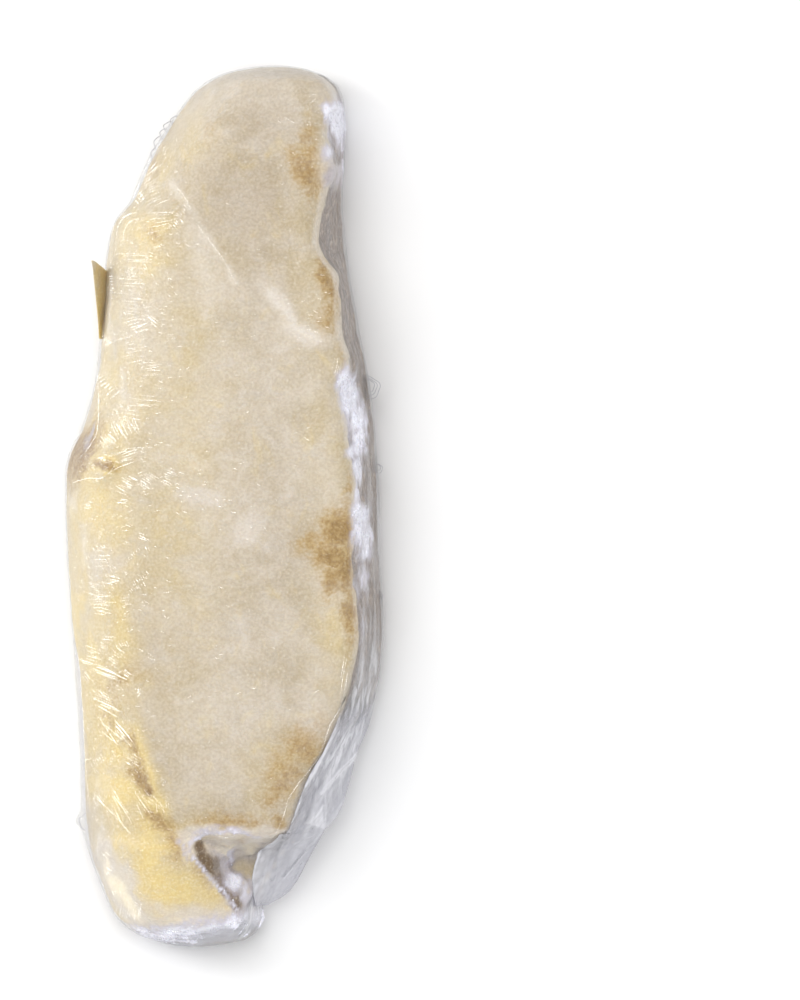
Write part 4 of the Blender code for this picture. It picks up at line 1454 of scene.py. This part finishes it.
# %% Where the wrinkles lie
# Each comb: place across and along, direction of its strokes in degrees, their length,
# how many there are, their spacing, half their width in millimetres, strength.
COMBS = (
    (-14.9, 85.4, 45, 1, 9, 0.55, 0.09, 0.9),
    (-16.2, 79.6, 41, 6, 3, 0.75, 0.12, 1),
    (-17.2, 76.3, 27, 3.2, 5, 0.65, 0.1, 0.9),
    (-19.4, 73, 50, 2.4, 3, 0.8, 0.11, 1),
    (-19.8, 72.6, -40, 2.4, 3, 0.9, 0.1, 0.9),
    (-15.9, 73, 18, 4.4, 6, 0.8, 0.08, 0.5),
    (-14.5, 67.2, 8, 6.6, 6, 0.8, 0.09, 0.6),
    (-11.1, 66, -60, 1.6, 6, 0.65, 0.1, 1),
    (-9.1, 69.5, -50, 2, 6, 0.6, 0.09, 0.7),
    (-19.2, 58.4, -2, 7.6, 4, 0.65, 0.09, 0.7),
    (-21, 52.5, -5, 6.2, 9, 0.85, 0.08, 0.5),
    (-26.4, 53, 0, 1.2, 11, 0.72, 0.1, 0.7),
    (-20.9, 47.7, -8, 4.4, 8, 0.8, 0.08, 0.45),
    (-20.9, 42.6, 15, 5.2, 6, 0.68, 0.09, 0.8),
    (-15.9, 43.3, -40, 3, 3, 0.6, 0.11, 0.6),
    (-27.3, 39.2, 30, 2.2, 6, 0.5, 0.1, 1),
    (-21.6, 36.4, 8, 6, 9, 0.75, 0.08, 0.5),
    (-16.5, 32.2, 5, 4.6, 6, 0.6, 0.09, 0.55),
    (-28, 28.8, 35, 2.4, 9, 0.85, 0.1, 0.9),
    (-17.2, 24.6, -3, 7.6, 5, 0.7, 0.08, 0.6),
    (-21.6, 21.7, -10, 4.6, 3, 0.8, 0.09, 0.6),
    (-23.1, 18.7, -62, 5.6, 14, 0.43, 0.09, 0.8),
    (-27, 15.3, -45, 3.4, 8, 0.45, 0.09, 0.6),
    (-19.6, 13.3, 8, 13, 2, 0.5, 0.08, 0.6),
    (-22.3, 11.6, 20, 4.6, 6, 0.58, 0.1, 0.9),
    (-28, 11.1, 12, 3, 3, 0.45, 0.1, 1),
    (-22.6, 5, -28, 3.2, 9, 0.52, 0.1, 0.95),
    (-17.5, 6, -28, 3.6, 8, 0.52, 0.1, 0.85),
    (-12.5, 6.6, -25, 2.8, 8, 0.5, 0.09, 0.7),
    (-23.1, 1.2, -7, 3.6, 3, 0.4, 0.1, 1),
    (-31.3, 0.2, -15, 2.2, 5, 0.4, 0.09, 0.6),
    (-21.6, -4.5, -20, 2, 2, 0.5, 0.11, 0.9),
    (-28.7, -6.5, -20, 1.2, 5, 0.6, 0.09, 0.7),
    (-18.9, -7, -22, 4.2, 3, 0.5, 0.1, 0.9),
    (-22.6, -8.6, -10, 2.2, 2, 0.5, 0.09, 0.7),
    (-28.3, -11.9, 1, 4.6, 6, 0.8, 0.08, 0.5),
    (-21.2, -11.8, -55, 1.3, 8, 0.62, 0.09, 0.9),
    (-17.5, -9.9, 70, 0.9, 4, 0.4, 0.1, 0.9),
    (-26, -17.3, -12, 3.2, 6, 0.42, 0.1, 0.8),
    (-19.2, -17, -58, 1.2, 8, 0.56, 0.09, 0.8),
    (-20.2, -19.3, -55, 1.6, 8, 0.6, 0.1, 0.9),
    (-29.7, -19.5, -15, 4, 6, 0.52, 0.1, 0.8),
    (-28.7, -22.2, -3, 5.6, 8, 0.48, 0.09, 0.75),
    (-22.6, -22.4, 8, 3, 4, 0.58, 0.09, 0.6),
    (-28, -24.7, -6, 3.4, 4, 0.4, 0.1, 0.8),
    (-26.6, -31, -3, 4.6, 2, 0.65, 0.09, 0.7),
    (-28, -32.3, -12, 1.8, 5, 0.5, 0.09, 0.6),
    (-23.6, -32.5, -55, 1.7, 6, 0.52, 0.09, 0.9),
    (-31, -35.2, -16, 4.4, 8, 0.6, 0.1, 0.8),
    (-24.9, -35.2, -35, 2.8, 7, 0.58, 0.1, 0.9),
    (-27.6, -38.9, -23, 8.2, 4, 0.5, 0.12, 1),
    (-22.6, -39.5, -38, 2.2, 4, 0.5, 0.11, 1),
    (-32, -40.6, -50, 2.2, 3, 0.5, 0.1, 0.9),
    (-19.7, -43.4, 45, 1.4, 5, 0.42, 0.11, 1),
    (-29.3, -44.6, -33, 3, 5, 0.56, 0.1, 0.7),
    (-27.2, -46, -22, 6, 7, 0.58, 0.1, 0.85),
    (-26.8, -53.1, -42, 7, 3, 0.78, 0.1, 0.9),
    (-23.3, -53.5, -48, 6.4, 3, 0.52, 0.1, 0.9),
    (-20.7, -59.7, -28, 4, 5, 0.58, 0.1, 0.9),
    (-29.4, -59.7, -65, 2, 5, 0.55, 0.1, 0.7),
    (-29.4, -68.8, -60, 3.6, 5, 0.42, 0.09, 0.7),
    (-24.3, -70.7, -57, 8.2, 4, 0.72, 0.11, 0.9),
    (-25.1, -73.1, -49, 10.6, 2, 0.58, 0.1, 0.9),
    (-18.8, -70.2, -59, 6.8, 4, 0.72, 0.1, 0.95),
    (-17, -68.4, -42, 4.2, 4, 0.48, 0.11, 1),
    (-14.1, -70.4, 96, 3, 6, 0.58, 0.1, 0.95),
    (-13.9, -64.7, 20, 0.9, 3, 0.55, 0.1, 0.7),
    (-28, -82.1, -38, 3.4, 3, 0.78, 0.1, 0.7),
    (-26.8, -85.7, -50, 1.6, 6, 0.4, 0.11, 0.9),
    (-25.1, -90.8, 110, 1.2, 4, 0.6, 0.1, 0.8),
    (-22.1, -95.5, 77, 4, 10, 0.6, 0.09, 0.9),
    (-8.5, -100.6, -8, 9, 3, 0.6, 0.09, 0.8),
    (4, -98.4, 20, 6, 5, 0.6, 0.09, 0.9),
    (27, 33, 78, 4.6, 4, 0.55, 0.08, 0.8),
    (24, 85, 60, 1, 8, 0.7, 0.09, 0.9),
    (22, 93.5, 40, 2.2, 9, 0.7, 0.07, 0.4),
    (12, 94.5, 30, 1.6, 9, 0.8, 0.07, 0.35),
    (33, 31, 98, 13, 3, 0.6, 0.07, 0.5),
    (35.6, 2, 89, 24, 4, 0.55, 0.08, 0.6),
    (34.6, -27, 89, 22, 5, 0.58, 0.08, 0.7),
    (29.2, -40, 74, 9, 5, 0.6, 0.1, 0.8),
    (31.6, -46.5, 70, 13, 7, 0.65, 0.1, 0.9),
)
# Where short wrinkles are scattered: place, half width, half length, turn, density.
SCATTERED = (
    (-20, 56, 9, 26, 0, 0.75),
    (-22, 20, 8, 22, 0, 0.8),
    (-26, -20, 9, 22, 0, 0.55),
    (-26, -60, 8, 24, 0, 0.45),
    (-14, 2, 10, 7, 0, 0.45),
    (22, 86, 6, 10, 0, 0.45),
    (22, 44, 6, 8, 0, 0.3),
    (-2, 20, 20, 80, 0, 0.05),
)


def scatter_fields(points, up):
    """Density and direction of the scattered wrinkles at points."""
    clumps = smooth_step(0.55 + 0.9 * soft_noise(points, 3.2 * MM, 51))
    density = ovals(points[:, 0], points[:, 1], SCATTERED) * clumps * smooth_step((up - 0.05) / 0.3)
    direction = 0.9 * soft_noise(points, 14.0 * MM, 52) - 0.1
    return density, direction


density, angle = scatter_fields(points_of(wrap), normals_of(wrap)[:, 2])
store(wrap, "wrinkle_density", density)
store(wrap, "wrinkle_angle", angle)
print("combs", len(COMBS), "densest scatter", round(float(density.max()), 2))

# %% [markdown]
# ## Wrinkles by Geometry Nodes
#
# A Geometry Nodes tree scatters points over the film by their density, puts a short line
# on each, presses the lines onto the film and gives them a thin tapering body. Its inputs
# have names, and a fixed seed makes the same wrinkles each time. Their material is a
# glint: it mirrors the left lamp in patches, and lets light through between them.


# %% Geometry Nodes for wrinkles
class GeometryTree(NodeTree):
    """A Geometry Nodes tree with named inputs, given as (label, kind of socket, value)."""

    def __init__(self, name, inputs):
        self.group = bpy.data.node_groups.new(name, "GeometryNodeTree")
        super().__init__(self.group)
        self.keys = {}
        for label, kind, value in (*inputs, ("Finish", "Material", None)):
            kind = "NodeSocket" + kind
            socket = self.group.interface.new_socket(label, in_out="INPUT", socket_type=kind)
            if value is not None:
                socket.default_value = value
            self.keys[label] = socket.identifier
        self.group.interface.new_socket("Geometry", in_out="OUTPUT", socket_type="NodeSocketGeometry")
        self.inputs = self.nodes.new("NodeGroupInput").outputs
        self.output = self.nodes.new("NodeGroupOutput")

    def named(self, name):
        return self.add("GeometryNodeInputNamedAttribute", {"Name": name}, data_type="FLOAT").outputs[0]

    def shape_of(self, label):
        """The mesh of the object that is the group's input of this name."""
        return self.add("GeometryNodeObjectInfo", {"Object": self.inputs[label]}).outputs["Geometry"]

    def random(self, low, high, seed):
        """A random value whose seed is the group's Seed moved on by a number."""
        values = {"Min": low, "Max": high, "Seed": self.plus(self.inputs["Seed"], seed)}
        return self.add("FunctionNodeRandomValue", values, data_type="FLOAT").outputs["Value"]

    def scattered(self, mesh, amount):
        """Points on a mesh, and the turn of the face under each."""
        values = {"Mesh": mesh, "Density": amount, "Seed": self.inputs["Seed"]}
        node = self.add("GeometryNodeDistributePointsOnFaces", values, distribute_method="RANDOM")
        return node.outputs["Points"], node.outputs["Rotation"]

    def copies(self, points, instance, rotation, scale):
        """A copy at each point, made real."""
        values = {"Points": points, "Instance": instance, "Rotation": rotation, "Scale": scale}
        made = self.add("GeometryNodeInstanceOnPoints", values).outputs[0]
        return self.add("GeometryNodeRealizeInstances", {"Geometry": made}).outputs[0]

    def moved(self, geometry, **values):
        return self.add("GeometryNodeSetPosition", {"Geometry": geometry, **values}).outputs[0]

    def lifted(self, geometry):
        """Geometry raised by the group's Lift."""
        lift = self.add("ShaderNodeCombineXYZ", {"Z": self.inputs["Lift"]}).outputs[0]
        return self.moved(geometry, Offset=lift)

    def taper(self):
        """0 at both ends of a line and 1 in its middle."""
        along = self.add("GeometryNodeSplineParameter").outputs["Factor"]
        return self.math("SINE", self.times(along, math.pi))

    def tubes(self, lines, thickness, corners):
        """A closed body round each line."""
        circle = {"Resolution": corners, "Radius": 1.0}
        profile = self.add("GeometryNodeCurvePrimitiveCircle", circle).outputs[0]
        values = {"Curve": lines, "Profile Curve": profile, "Scale": thickness, "Fill Caps": True}
        return self.add("GeometryNodeCurveToMesh", values).outputs[0]

    def finish(self, geometry):
        """Gives the geometry the group's Finish as its material, and sends it out."""
        values = {"Geometry": geometry, "Material": self.inputs["Finish"]}
        done = self.add("GeometryNodeSetMaterial", values)
        self.links.new(done.outputs[0], self.output.inputs[0])
        return self


def built_by_nodes(name, tree, values):
    """Runs a tree on an empty mesh, keeps what it makes as a plain mesh, and drops the tree."""
    piece = mesh_from(name, [], [])
    modifier = piece.modifiers.new("Nodes", "NODES")
    modifier.node_group = tree.group
    for label, value in values.items():
        modifier[tree.keys[label]] = value
    with_modifiers_applied(piece)
    piece.data.shade_smooth()
    return piece


def wrinkle_tree():
    """Short tapering lines scattered on a film."""
    tree = GeometryTree(
        "wrinkles_on_film",
        (
            ("Film", "Object", None),
            ("Count Per Area", "Float", 1.0),
            ("Length", "Float", 1.2 * MM),
            ("Thickness", "Float", 0.12 * MM),
            ("Lift", "Float", 0.05 * MM),
            ("Spread", "Float", 0.2),
            ("Seed", "Int", 1),
        ),
    )
    film = tree.shape_of("Film")
    amount = tree.times(tree.named("wrinkle_density"), tree.inputs["Count Per Area"])
    points, _ = tree.scattered(film, amount)
    spread = tree.inputs["Spread"]
    turn = tree.random(tree.math("SUBTRACT", 0.0, spread), spread, 1)
    turn = tree.plus(turn, tree.named("wrinkle_angle"))
    turn = tree.add("FunctionNodeAxisAngleToRotation", {"Axis": (0.0, 0.0, 1.0), "Angle": turn}).outputs[0]
    size = tree.times(tree.inputs["Length"], tree.random(0.4, 1.6, 2))
    line = tree.add("GeometryNodeCurvePrimitiveLine", {"Start": (-0.5, 0.0, 0.0), "End": (0.5, 0.0, 0.0)})
    line = tree.add("GeometryNodeResampleCurve", {"Curve": line.outputs[0], "Count": 7}).outputs[0]
    lines = tree.copies(points, line, turn, size)
    nearest = tree.add("GeometryNodeProximity", {"Geometry": film}, target_element="FACES")
    lines = tree.lifted(tree.moved(lines, Position=nearest.outputs["Position"]))
    thick = tree.times(tree.math("MAXIMUM", tree.taper(), 0.06), tree.inputs["Thickness"])
    return tree.finish(tree.tubes(lines, thick, 4))


def glint_material(name, cover, own_strength=True):
    """A fold's flank that mirrors the left lamp, with clear film between the glints."""
    tree = Tree(name)
    glint = lamp_mirror(tree, (0.97, 0.96, 0.92), 0.25)
    patchy = tree.plus(0.4, tree.between(tree.noise(1.6, 2.0), 0.25, 0.60))
    mask = tree.times(patchy, cover, True)
    if own_strength:
        mask = tree.times(mask, tree.attribute("strength"))
    return tree.finish(tree.blend(mask, tree.add("ShaderNodeBsdfTransparent"), glint))


wrinkles = built_by_nodes(
    "film_wrinkles",
    wrinkle_tree(),
    {
        "Film": wrap,
        "Count Per Area": 9.0e5,
        "Length": 1.1 * MM,
        "Thickness": 0.08 * MM,
        "Lift": -0.03 * MM,
        "Spread": 0.45,
        "Seed": 3,
        "Finish": glint_material("film_wrinkle_light", cover=0.048, own_strength=False),
    },
)
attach(wrinkles, "root")
print("wrinkles", len(wrinkles.data.polygons), "faces")

# %% [markdown]
# ## Long folds
#
# A few folds are long enough to have a path of their own: the seam across the upper
# half, the step in the belly's film, the ridge under the lump, and the line along the
# shoulder where the film leaves the fish. The strokes of the combs are short paths of the
# same kind. One tree serves for all: it drops each path straight down onto the film,
# leaves out the points that miss it, and gives it a thin tapering body.

# %% Long folds
# Each fold: which film it lies on, half its width in millimetres, and its path.
FOLDS = (
    ("wrap", 0.07, ((-7.1, 67.8), (-3.8, 63.3), (-0.2, 58.6), (3.3, 52.2))),
    ("wrap", 0.05, ((-12, 76.2), (-9.4, 73.4), (-6.4, 68.6))),
    ("wrap", 0.2, ((-25.2, 63), (-24.9, 65.6), (-23.9, 67.6), (-22.2, 68.8), (-20, 69.2))),
    ("wrap", 0.11, ((-23.6, 62), (-23.2, 65), (-21.8, 67), (-19.6, 67.6))),
    ("wrap", 0.13, ((-35.6, 5.5), (-31.8, 6.6), (-28.5, 6.6), (-25.9, 8.6), (-24.8, 11))),
    ("wrap", 0.1, ((-34.6, 10.5), (-31.5, 14), (-29.6, 18), (-29.4, 24), (-29.7, 31))),
    ("wrap", 0.12, SHOULDER_LINE[:4]),
    ("wrap", 0.09, ((36, 8), (36.6, -12.6), (36.9, -31.5), (36.2, -45.6))),
    ("wrap", 0.09, ((33.5, -33.8), (34, -43.2), (32, -52.7))),
    ("wrap", 0.09, ((35, -22), (35.5, -33.8), (34.6, -47))),
    ("wrap", 0.08, ((33, 24), (34.6, 10), (35.4, -6), (35, -20))),
    ("wrap", 0.08, ((29.2, 56), (31, 46), (33, 36), (34.4, 26))),
    ("wrap", 0.09, ((-13.6, 87.6), (-16.2, 84), (-19.2, 78), (-21.6, 72))),
    ("wrap", 0.09, ((-34.4, -34), (-33.2, -48), (-32.4, -62), (-31.6, -70))),
    ("wrap", 0.12, ((-22, -99.5), (-12, -101.6), (-2, -102.2), (6, -100.4), (9.6, -97))),
    ("wrap", 0.1, ((-14, -99.6), (-4, -100.6), (4, -99.6), (7, -96.5))),
    ("wrap", 0.12, SHOULDER_LINE[:11]),
    ("web", 0.16, tuple((x + 0.7, y) for x, y in SHOULDER_LINE[4:])),
    ("web", 0.22, ((26, -61.5), (22.4, -66.2), (18.2, -71), (15, -76.5), (12.6, -82.5), (11, -88.5))),
    ("web", 0.14, ((22, -63.5), (18.8, -68.4), (16, -73.4), (13.4, -79.5), (11.6, -85))),
    ("web", 0.1, ((22.2, -79), (17.6, -83.4), (14.4, -86.4))),
    ("web", 0.08, ((23, -77.6), (19.4, -80.4), (15.6, -84.4))),
    ("web", 0.08, ((30.4, -62.4), (27, -68.2), (24.6, -73))),
    ("web", 0.08, ((31.4, -63), (28.6, -68), (26, -72.6))),
    ("web", 0.14, ((23.7, -76.5), (20.5, -82.3), (18.1, -87), (15.5, -90.7), (12.4, -92.4))),
    ("web", 0.12, ((34.6, -54), (32, -60.5), (29.4, -67.6), (26.4, -73.6), (23.7, -76.5))),
    ("web", 0.24, CREASES[0][0]),
    ("web", 0.12, CREASES[1][0]),
    ("web", 0.1, CREASES[4][0]),
    ("web", 0.09, CREASES[5][0]),
)
FOLD_STEP = 0.5 * MM


def paths_object(name, rows):
    """Paths as a mesh of edges only. Each point carries half the fold's width, and its strength."""
    points, edges, widths, strengths = [], [], [], []
    for half_width, strength, path in rows:
        spots = np.array(path)
        run = np.hypot(*np.diff(spots, axis=0).T).sum() * MM
        places = np.linspace(0.0, len(spots) - 1.0, max(4, round(run / FOLD_STEP)))
        line = np.stack([through(spots[:, 0], places), through(spots[:, 1], places)], axis=-1) * MM
        start = len(points)
        points += [(x, y, HEIGHT + 0.01) for x, y in line]
        edges += [(start + k, start + k + 1) for k in range(len(line) - 1)]
        wave = 0.8 + 0.35 * soft_noise(np.column_stack([line, np.zeros(len(line))]), 3.5 * MM, 81)
        widths += list(half_width * MM * wave)
        strengths += [strength] * len(line)
    made = mesh_from(name, points, [], edges)
    store(made, "half_width", widths)
    store(made, "strength", strengths)
    return made


def comb_strokes(combs, seed):
    """The strokes of all combs as rows for paths_object."""
    chance = np.random.default_rng(seed)
    rows = []
    for at_x, at_y, direction, length, count, spacing, half_width, strength in combs:
        lean = chance.uniform(-0.25, 0.25)
        for k in range(count):
            turn = math.radians(direction + chance.normal(0.0, 4.0))
            forward = np.array([math.cos(turn), math.sin(turn)])
            side = np.array([-forward[1], forward[0]])
            offset = (k - 0.5 * (count - 1)) * spacing * chance.uniform(0.85, 1.15)
            middle = np.array([at_x, at_y]) + side * offset
            middle = middle + forward * (lean * offset + length * chance.uniform(-0.22, 0.22))
            half = 0.5 * length * chance.uniform(0.5, 1.12)
            bow = side * half * chance.uniform(-0.08, 0.08)
            path = (middle - forward * half, middle + bow, middle + forward * half)
            width = 1.15 * half_width * chance.uniform(0.7, 1.2)
            rows.append((width, strength * chance.uniform(0.6, 1.2), path))
    return rows


def fold_tree():
    """Tapering lines along paths, dropped onto a film."""
    inputs = (("Paths", "Object", None), ("Film", "Object", None), ("Lift", "Float", 0.05 * MM))
    tree = GeometryTree("folds_on_film", inputs)
    ray = {"Target Geometry": tree.shape_of("Film"), "Ray Direction": (0.0, 0.0, -1.0), "Ray Length": 0.1}
    down = tree.add("GeometryNodeRaycast", ray)
    missed = tree.add("FunctionNodeBooleanMath", {0: down.outputs["Is Hit"]}, operation="NOT").outputs[0]
    paths = {"Geometry": tree.shape_of("Paths"), "Selection": missed}
    paths = tree.add("GeometryNodeDeleteGeometry", paths, domain="POINT").outputs[0]
    lines = tree.add("GeometryNodeMeshToCurve", {"Mesh": paths}).outputs[0]
    lines = tree.lifted(tree.moved(lines, Position=down.outputs["Hit Position"]))
    taper = tree.math("MAXIMUM", tree.math("POWER", tree.taper(), 0.5), 0.12)
    return tree.finish(tree.tubes(lines, tree.times(taper, tree.named("half_width")), 6))


folds = fold_tree()
fold_light = glint_material("film_fold_light", cover=0.108)
comb_light = glint_material("film_comb_light", cover=0.086)


def fold_rows(film, strength):
    """The folds of one film as rows for paths_object."""
    return [(half_width, strength, path) for on, half_width, path in FOLDS if on == film]


FOLD_SETS = (
    ("film_combs", wrap, comb_light, comb_strokes(COMBS, 4)),
    ("film_folds", wrap, fold_light, fold_rows("wrap", 0.50)),
    ("film_folds_loose", web, fold_light, fold_rows("web", 1.0)),
)
for name, film, finish, rows in FOLD_SETS:
    paths = paths_object("paths", rows)
    values = {"Paths": paths, "Film": film, "Lift": -0.05 * MM, "Finish": finish}
    piece = built_by_nodes(name, folds, values)
    bpy.data.objects.remove(paths, do_unlink=True)
    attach(piece, "root")
    print(name, len(rows), "paths,", len(piece.data.polygons), "faces")

# %% [markdown]
# ## Frost crystals
#
# Where air got under the film, ice has grown into grains. A few hundred squashed little
# balls, scattered by the frost zone, break up its smooth edge and catch the light.

# %% Frost crystals
CRYSTALS_PER_AREA = 4.5e6


def crystal_tree():
    """Squashed balls scattered where there is frost."""
    inputs = (
        ("Fish", "Object", None),
        ("Count Per Area", "Float", 1.0),
        ("Size", "Float", 0.3 * MM),
        ("Seed", "Int", 1),
    )
    tree = GeometryTree("frost_crystals", inputs)
    fish_shape = tree.shape_of("Fish")
    where = tree.math("MAXIMUM", tree.math("SUBTRACT", tree.named("frost"), 0.45), 0.0)
    points, turns = tree.scattered(fish_shape, tree.times(where, tree.inputs["Count Per Area"]))
    ball = tree.add("GeometryNodeMeshIcoSphere", {"Radius": 1.0, "Subdivisions": 1}).outputs[0]
    size = tree.times(tree.inputs["Size"], tree.random(0.35, 1.25, 1))
    squash = tree.times(size, tree.random(0.4, 0.9, 2))
    scale = tree.add("ShaderNodeCombineXYZ", {"X": size, "Y": squash, "Z": squash}).outputs[0]
    return tree.finish(tree.copies(points, ball, turns, scale))


tree = Tree("frost_grain")
tone = tree.mix(tree.between(tree.noise(0.8, 2.0), 0.35, 0.65), FROST_WHITE, FROST_SHADE)
grain = tree.finish(tree.principled(Base_Color=tone, Roughness=0.35, Subsurface_Weight=0.0))
values = {"Fish": fish, "Count Per Area": CRYSTALS_PER_AREA, "Size": 0.28 * MM, "Seed": 5, "Finish": grain}
crystals = built_by_nodes("frost_crystals", crystal_tree(), values)
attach(crystals, "root")
print("crystals", len(crystals.data.polygons), "faces")

# %% [markdown]
# ## Curls of film
#
# Where the film was cut and sealed, small ends stick out as curls at the right edge and
# as a frill at the upper left. Each is a narrow band bent into an arc, with a real
# thickness, and its two ends run into the film.

# %% Curls of film
# Each curl: its middle across and along, its radius, its stretch along, its first and
# last angle in degrees, and its lower and upper height. All lengths in millimetres.
CURLS = (
    (33.8, 28, 3.1, 0.85, -95, 95, 11, 13),
    (33.9, 28.2, 2.3, 0.85, -95, 100, 12, 14),
    (34, 28.4, 1.6, 0.9, -100, 100, 13, 14.6),
    (36.2, 8.9, 1.3, 0.8, -100, 100, 9, 10.6),
    (36.4, 9.2, 0.7, 0.9, -100, 100, 10, 11),
    (36.6, -21.5, 0.9, 1.4, -90, 90, 8, 9.4),
    (-12.7, 89.8, 1.5, 0.8, 60, 260, 6, 7.6),
    (-11.4, 91.2, 1.2, 0.9, 60, 250, 6.5, 8),
    (-14, 88.2, 1.1, 1, 80, 270, 6, 7.4),
    (-15.2, 85.9, 1.3, 1.2, 90, 260, 6, 7.4),
    (-16.2, 83.4, 1, 1.3, 90, 270, 6.5, 7.6),
    (-32.2, -74.6, 1.9, 1, 100, 260, 9, 10.4),
)
CURL_THICKNESS = 0.14  # in millimetres
CURL_STEPS = 26
EDGE_GREY = (0.52, 0.52, 0.56, 1.0)


def curl_points(curl):
    """The four corners of the band at every step along its arc."""
    at_x, at_y, radius, stretch, first, last, low, high = curl
    turn = np.radians(np.linspace(first, last, CURL_STEPS))
    wave = 1.0 + 0.06 * np.sin(5.0 * turn)
    rings = []
    for grow, height in ((0.0, low), (0.0, high), (CURL_THICKNESS, high), (CURL_THICKNESS, low)):
        reach = radius * wave + grow
        x = at_x + reach * np.cos(turn)
        y = at_y + stretch * reach * np.sin(turn)
        rings.append(np.stack([x, y, height + 0.3 * np.sin(3.0 * turn)], axis=-1) * MM)
    return np.stack(rings, axis=1)


def curl_material():
    """Film seen edge on, which looks like grey glass."""
    tree = Tree("film_edges")
    body = tree.principled(Base_Color=EDGE_GREY, Roughness=0.18, Specular_IOR_Level=0.8)
    mask = tree.between(tree.noise(1.6, 2.0), 0.0, 0.5)
    return tree.finish(tree.blend(mask, tree.add("ShaderNodeBsdfTransparent"), body))


points, faces = [], []
for rings in map(curl_points, CURLS):
    curl, curl_faces = closed_loft(rings)
    faces += [tuple(k + len(points) for k in face) for face in curl_faces]
    points += list(curl)
curls = mesh_from("film_curls", points, faces)
turned_out(curls)
curls.data.shade_smooth()
curls.data.materials.append(curl_material())
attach(curls, "root")
print("curls", len(curls.data.polygons), "faces")

# %% [markdown]
# ## The table and the light
#
# The loin lies on a white table, in a white room that gives a dim light from all round.
# The key lamp hangs high at the upper left, so the shadow is pale and falls to the lower
# right. The left lamp is low and small, and the only one that the film mirrors. The front
# and right lamps lift the shade on the tail end and on the skin side.

# %% Table and lamps
TABLE_SIZE = 2.4
WORLD_STRENGTH = 0.38
# Each lamp: name, place, where it points, side of its square, power, whether it is mirrored.
LAMPS = (
    ("key_lamp", (-0.22, 0.28, 1.08), (0.0, 0.0, 0.0), 0.75, 9.0, False),
    ("left_lamp", (-0.95, 0.35, 0.50), (0.0, 0.0, 0.02), 0.35, 3.6, True),
    ("front_lamp", (-0.25, -1.0, 0.34), (0.0, -0.1, 0.02), 0.5, 2.6, False),
    ("right_lamp", (0.95, -0.10, 0.42), (0.0, 0.0, 0.02), 0.45, 3.4, False),
)

bpy.ops.mesh.primitive_plane_add(size=TABLE_SIZE, location=(0.0, 0.0, -0.05 * MM))
table = bpy.context.object
table.name = "table"
tree = Tree("white_table")
tone = tree.mix(tree.times(tree.noise(60.0, 2.0), 0.05), (0.93, 0.93, 0.93), (0.90, 0.90, 0.91))
paint = tree.principled(Base_Color=tone, Roughness=0.9, Specular_IOR_Level=0.1)
table.data.materials.append(tree.finish(paint))

world = bpy.data.worlds.new("white_room")
bpy.context.scene.world = world
world.use_nodes = True
background = world.node_tree.nodes["Background"].inputs
background["Color"].default_value = (1.0, 1.0, 1.0, 1.0)
background["Strength"].default_value = WORLD_STRENGTH


def soft_lamp(name, place, aim, size, power, mirrored):
    """A square lamp that points at a place, and that shiny things mirror or not."""
    data = bpy.data.lights.new(name, "AREA")
    data.shape = "SQUARE"
    data.size = size
    data.energy = power
    lamp = placed(name, data)
    lamp.location = place
    lamp.rotation_euler = (Vector(aim) - Vector(place)).to_track_quat("-Z", "Y").to_euler()
    lamp.visible_glossy = mirrored


for row in LAMPS:
    soft_lamp(*row)
scene = bpy.context.scene
scene.view_settings.view_transform = "Standard"
scene.view_settings.look = "None"

# %% [markdown]
# ## The end

# The visual model has to stay in the frame's box.

# %% Finish
print("scene ready")
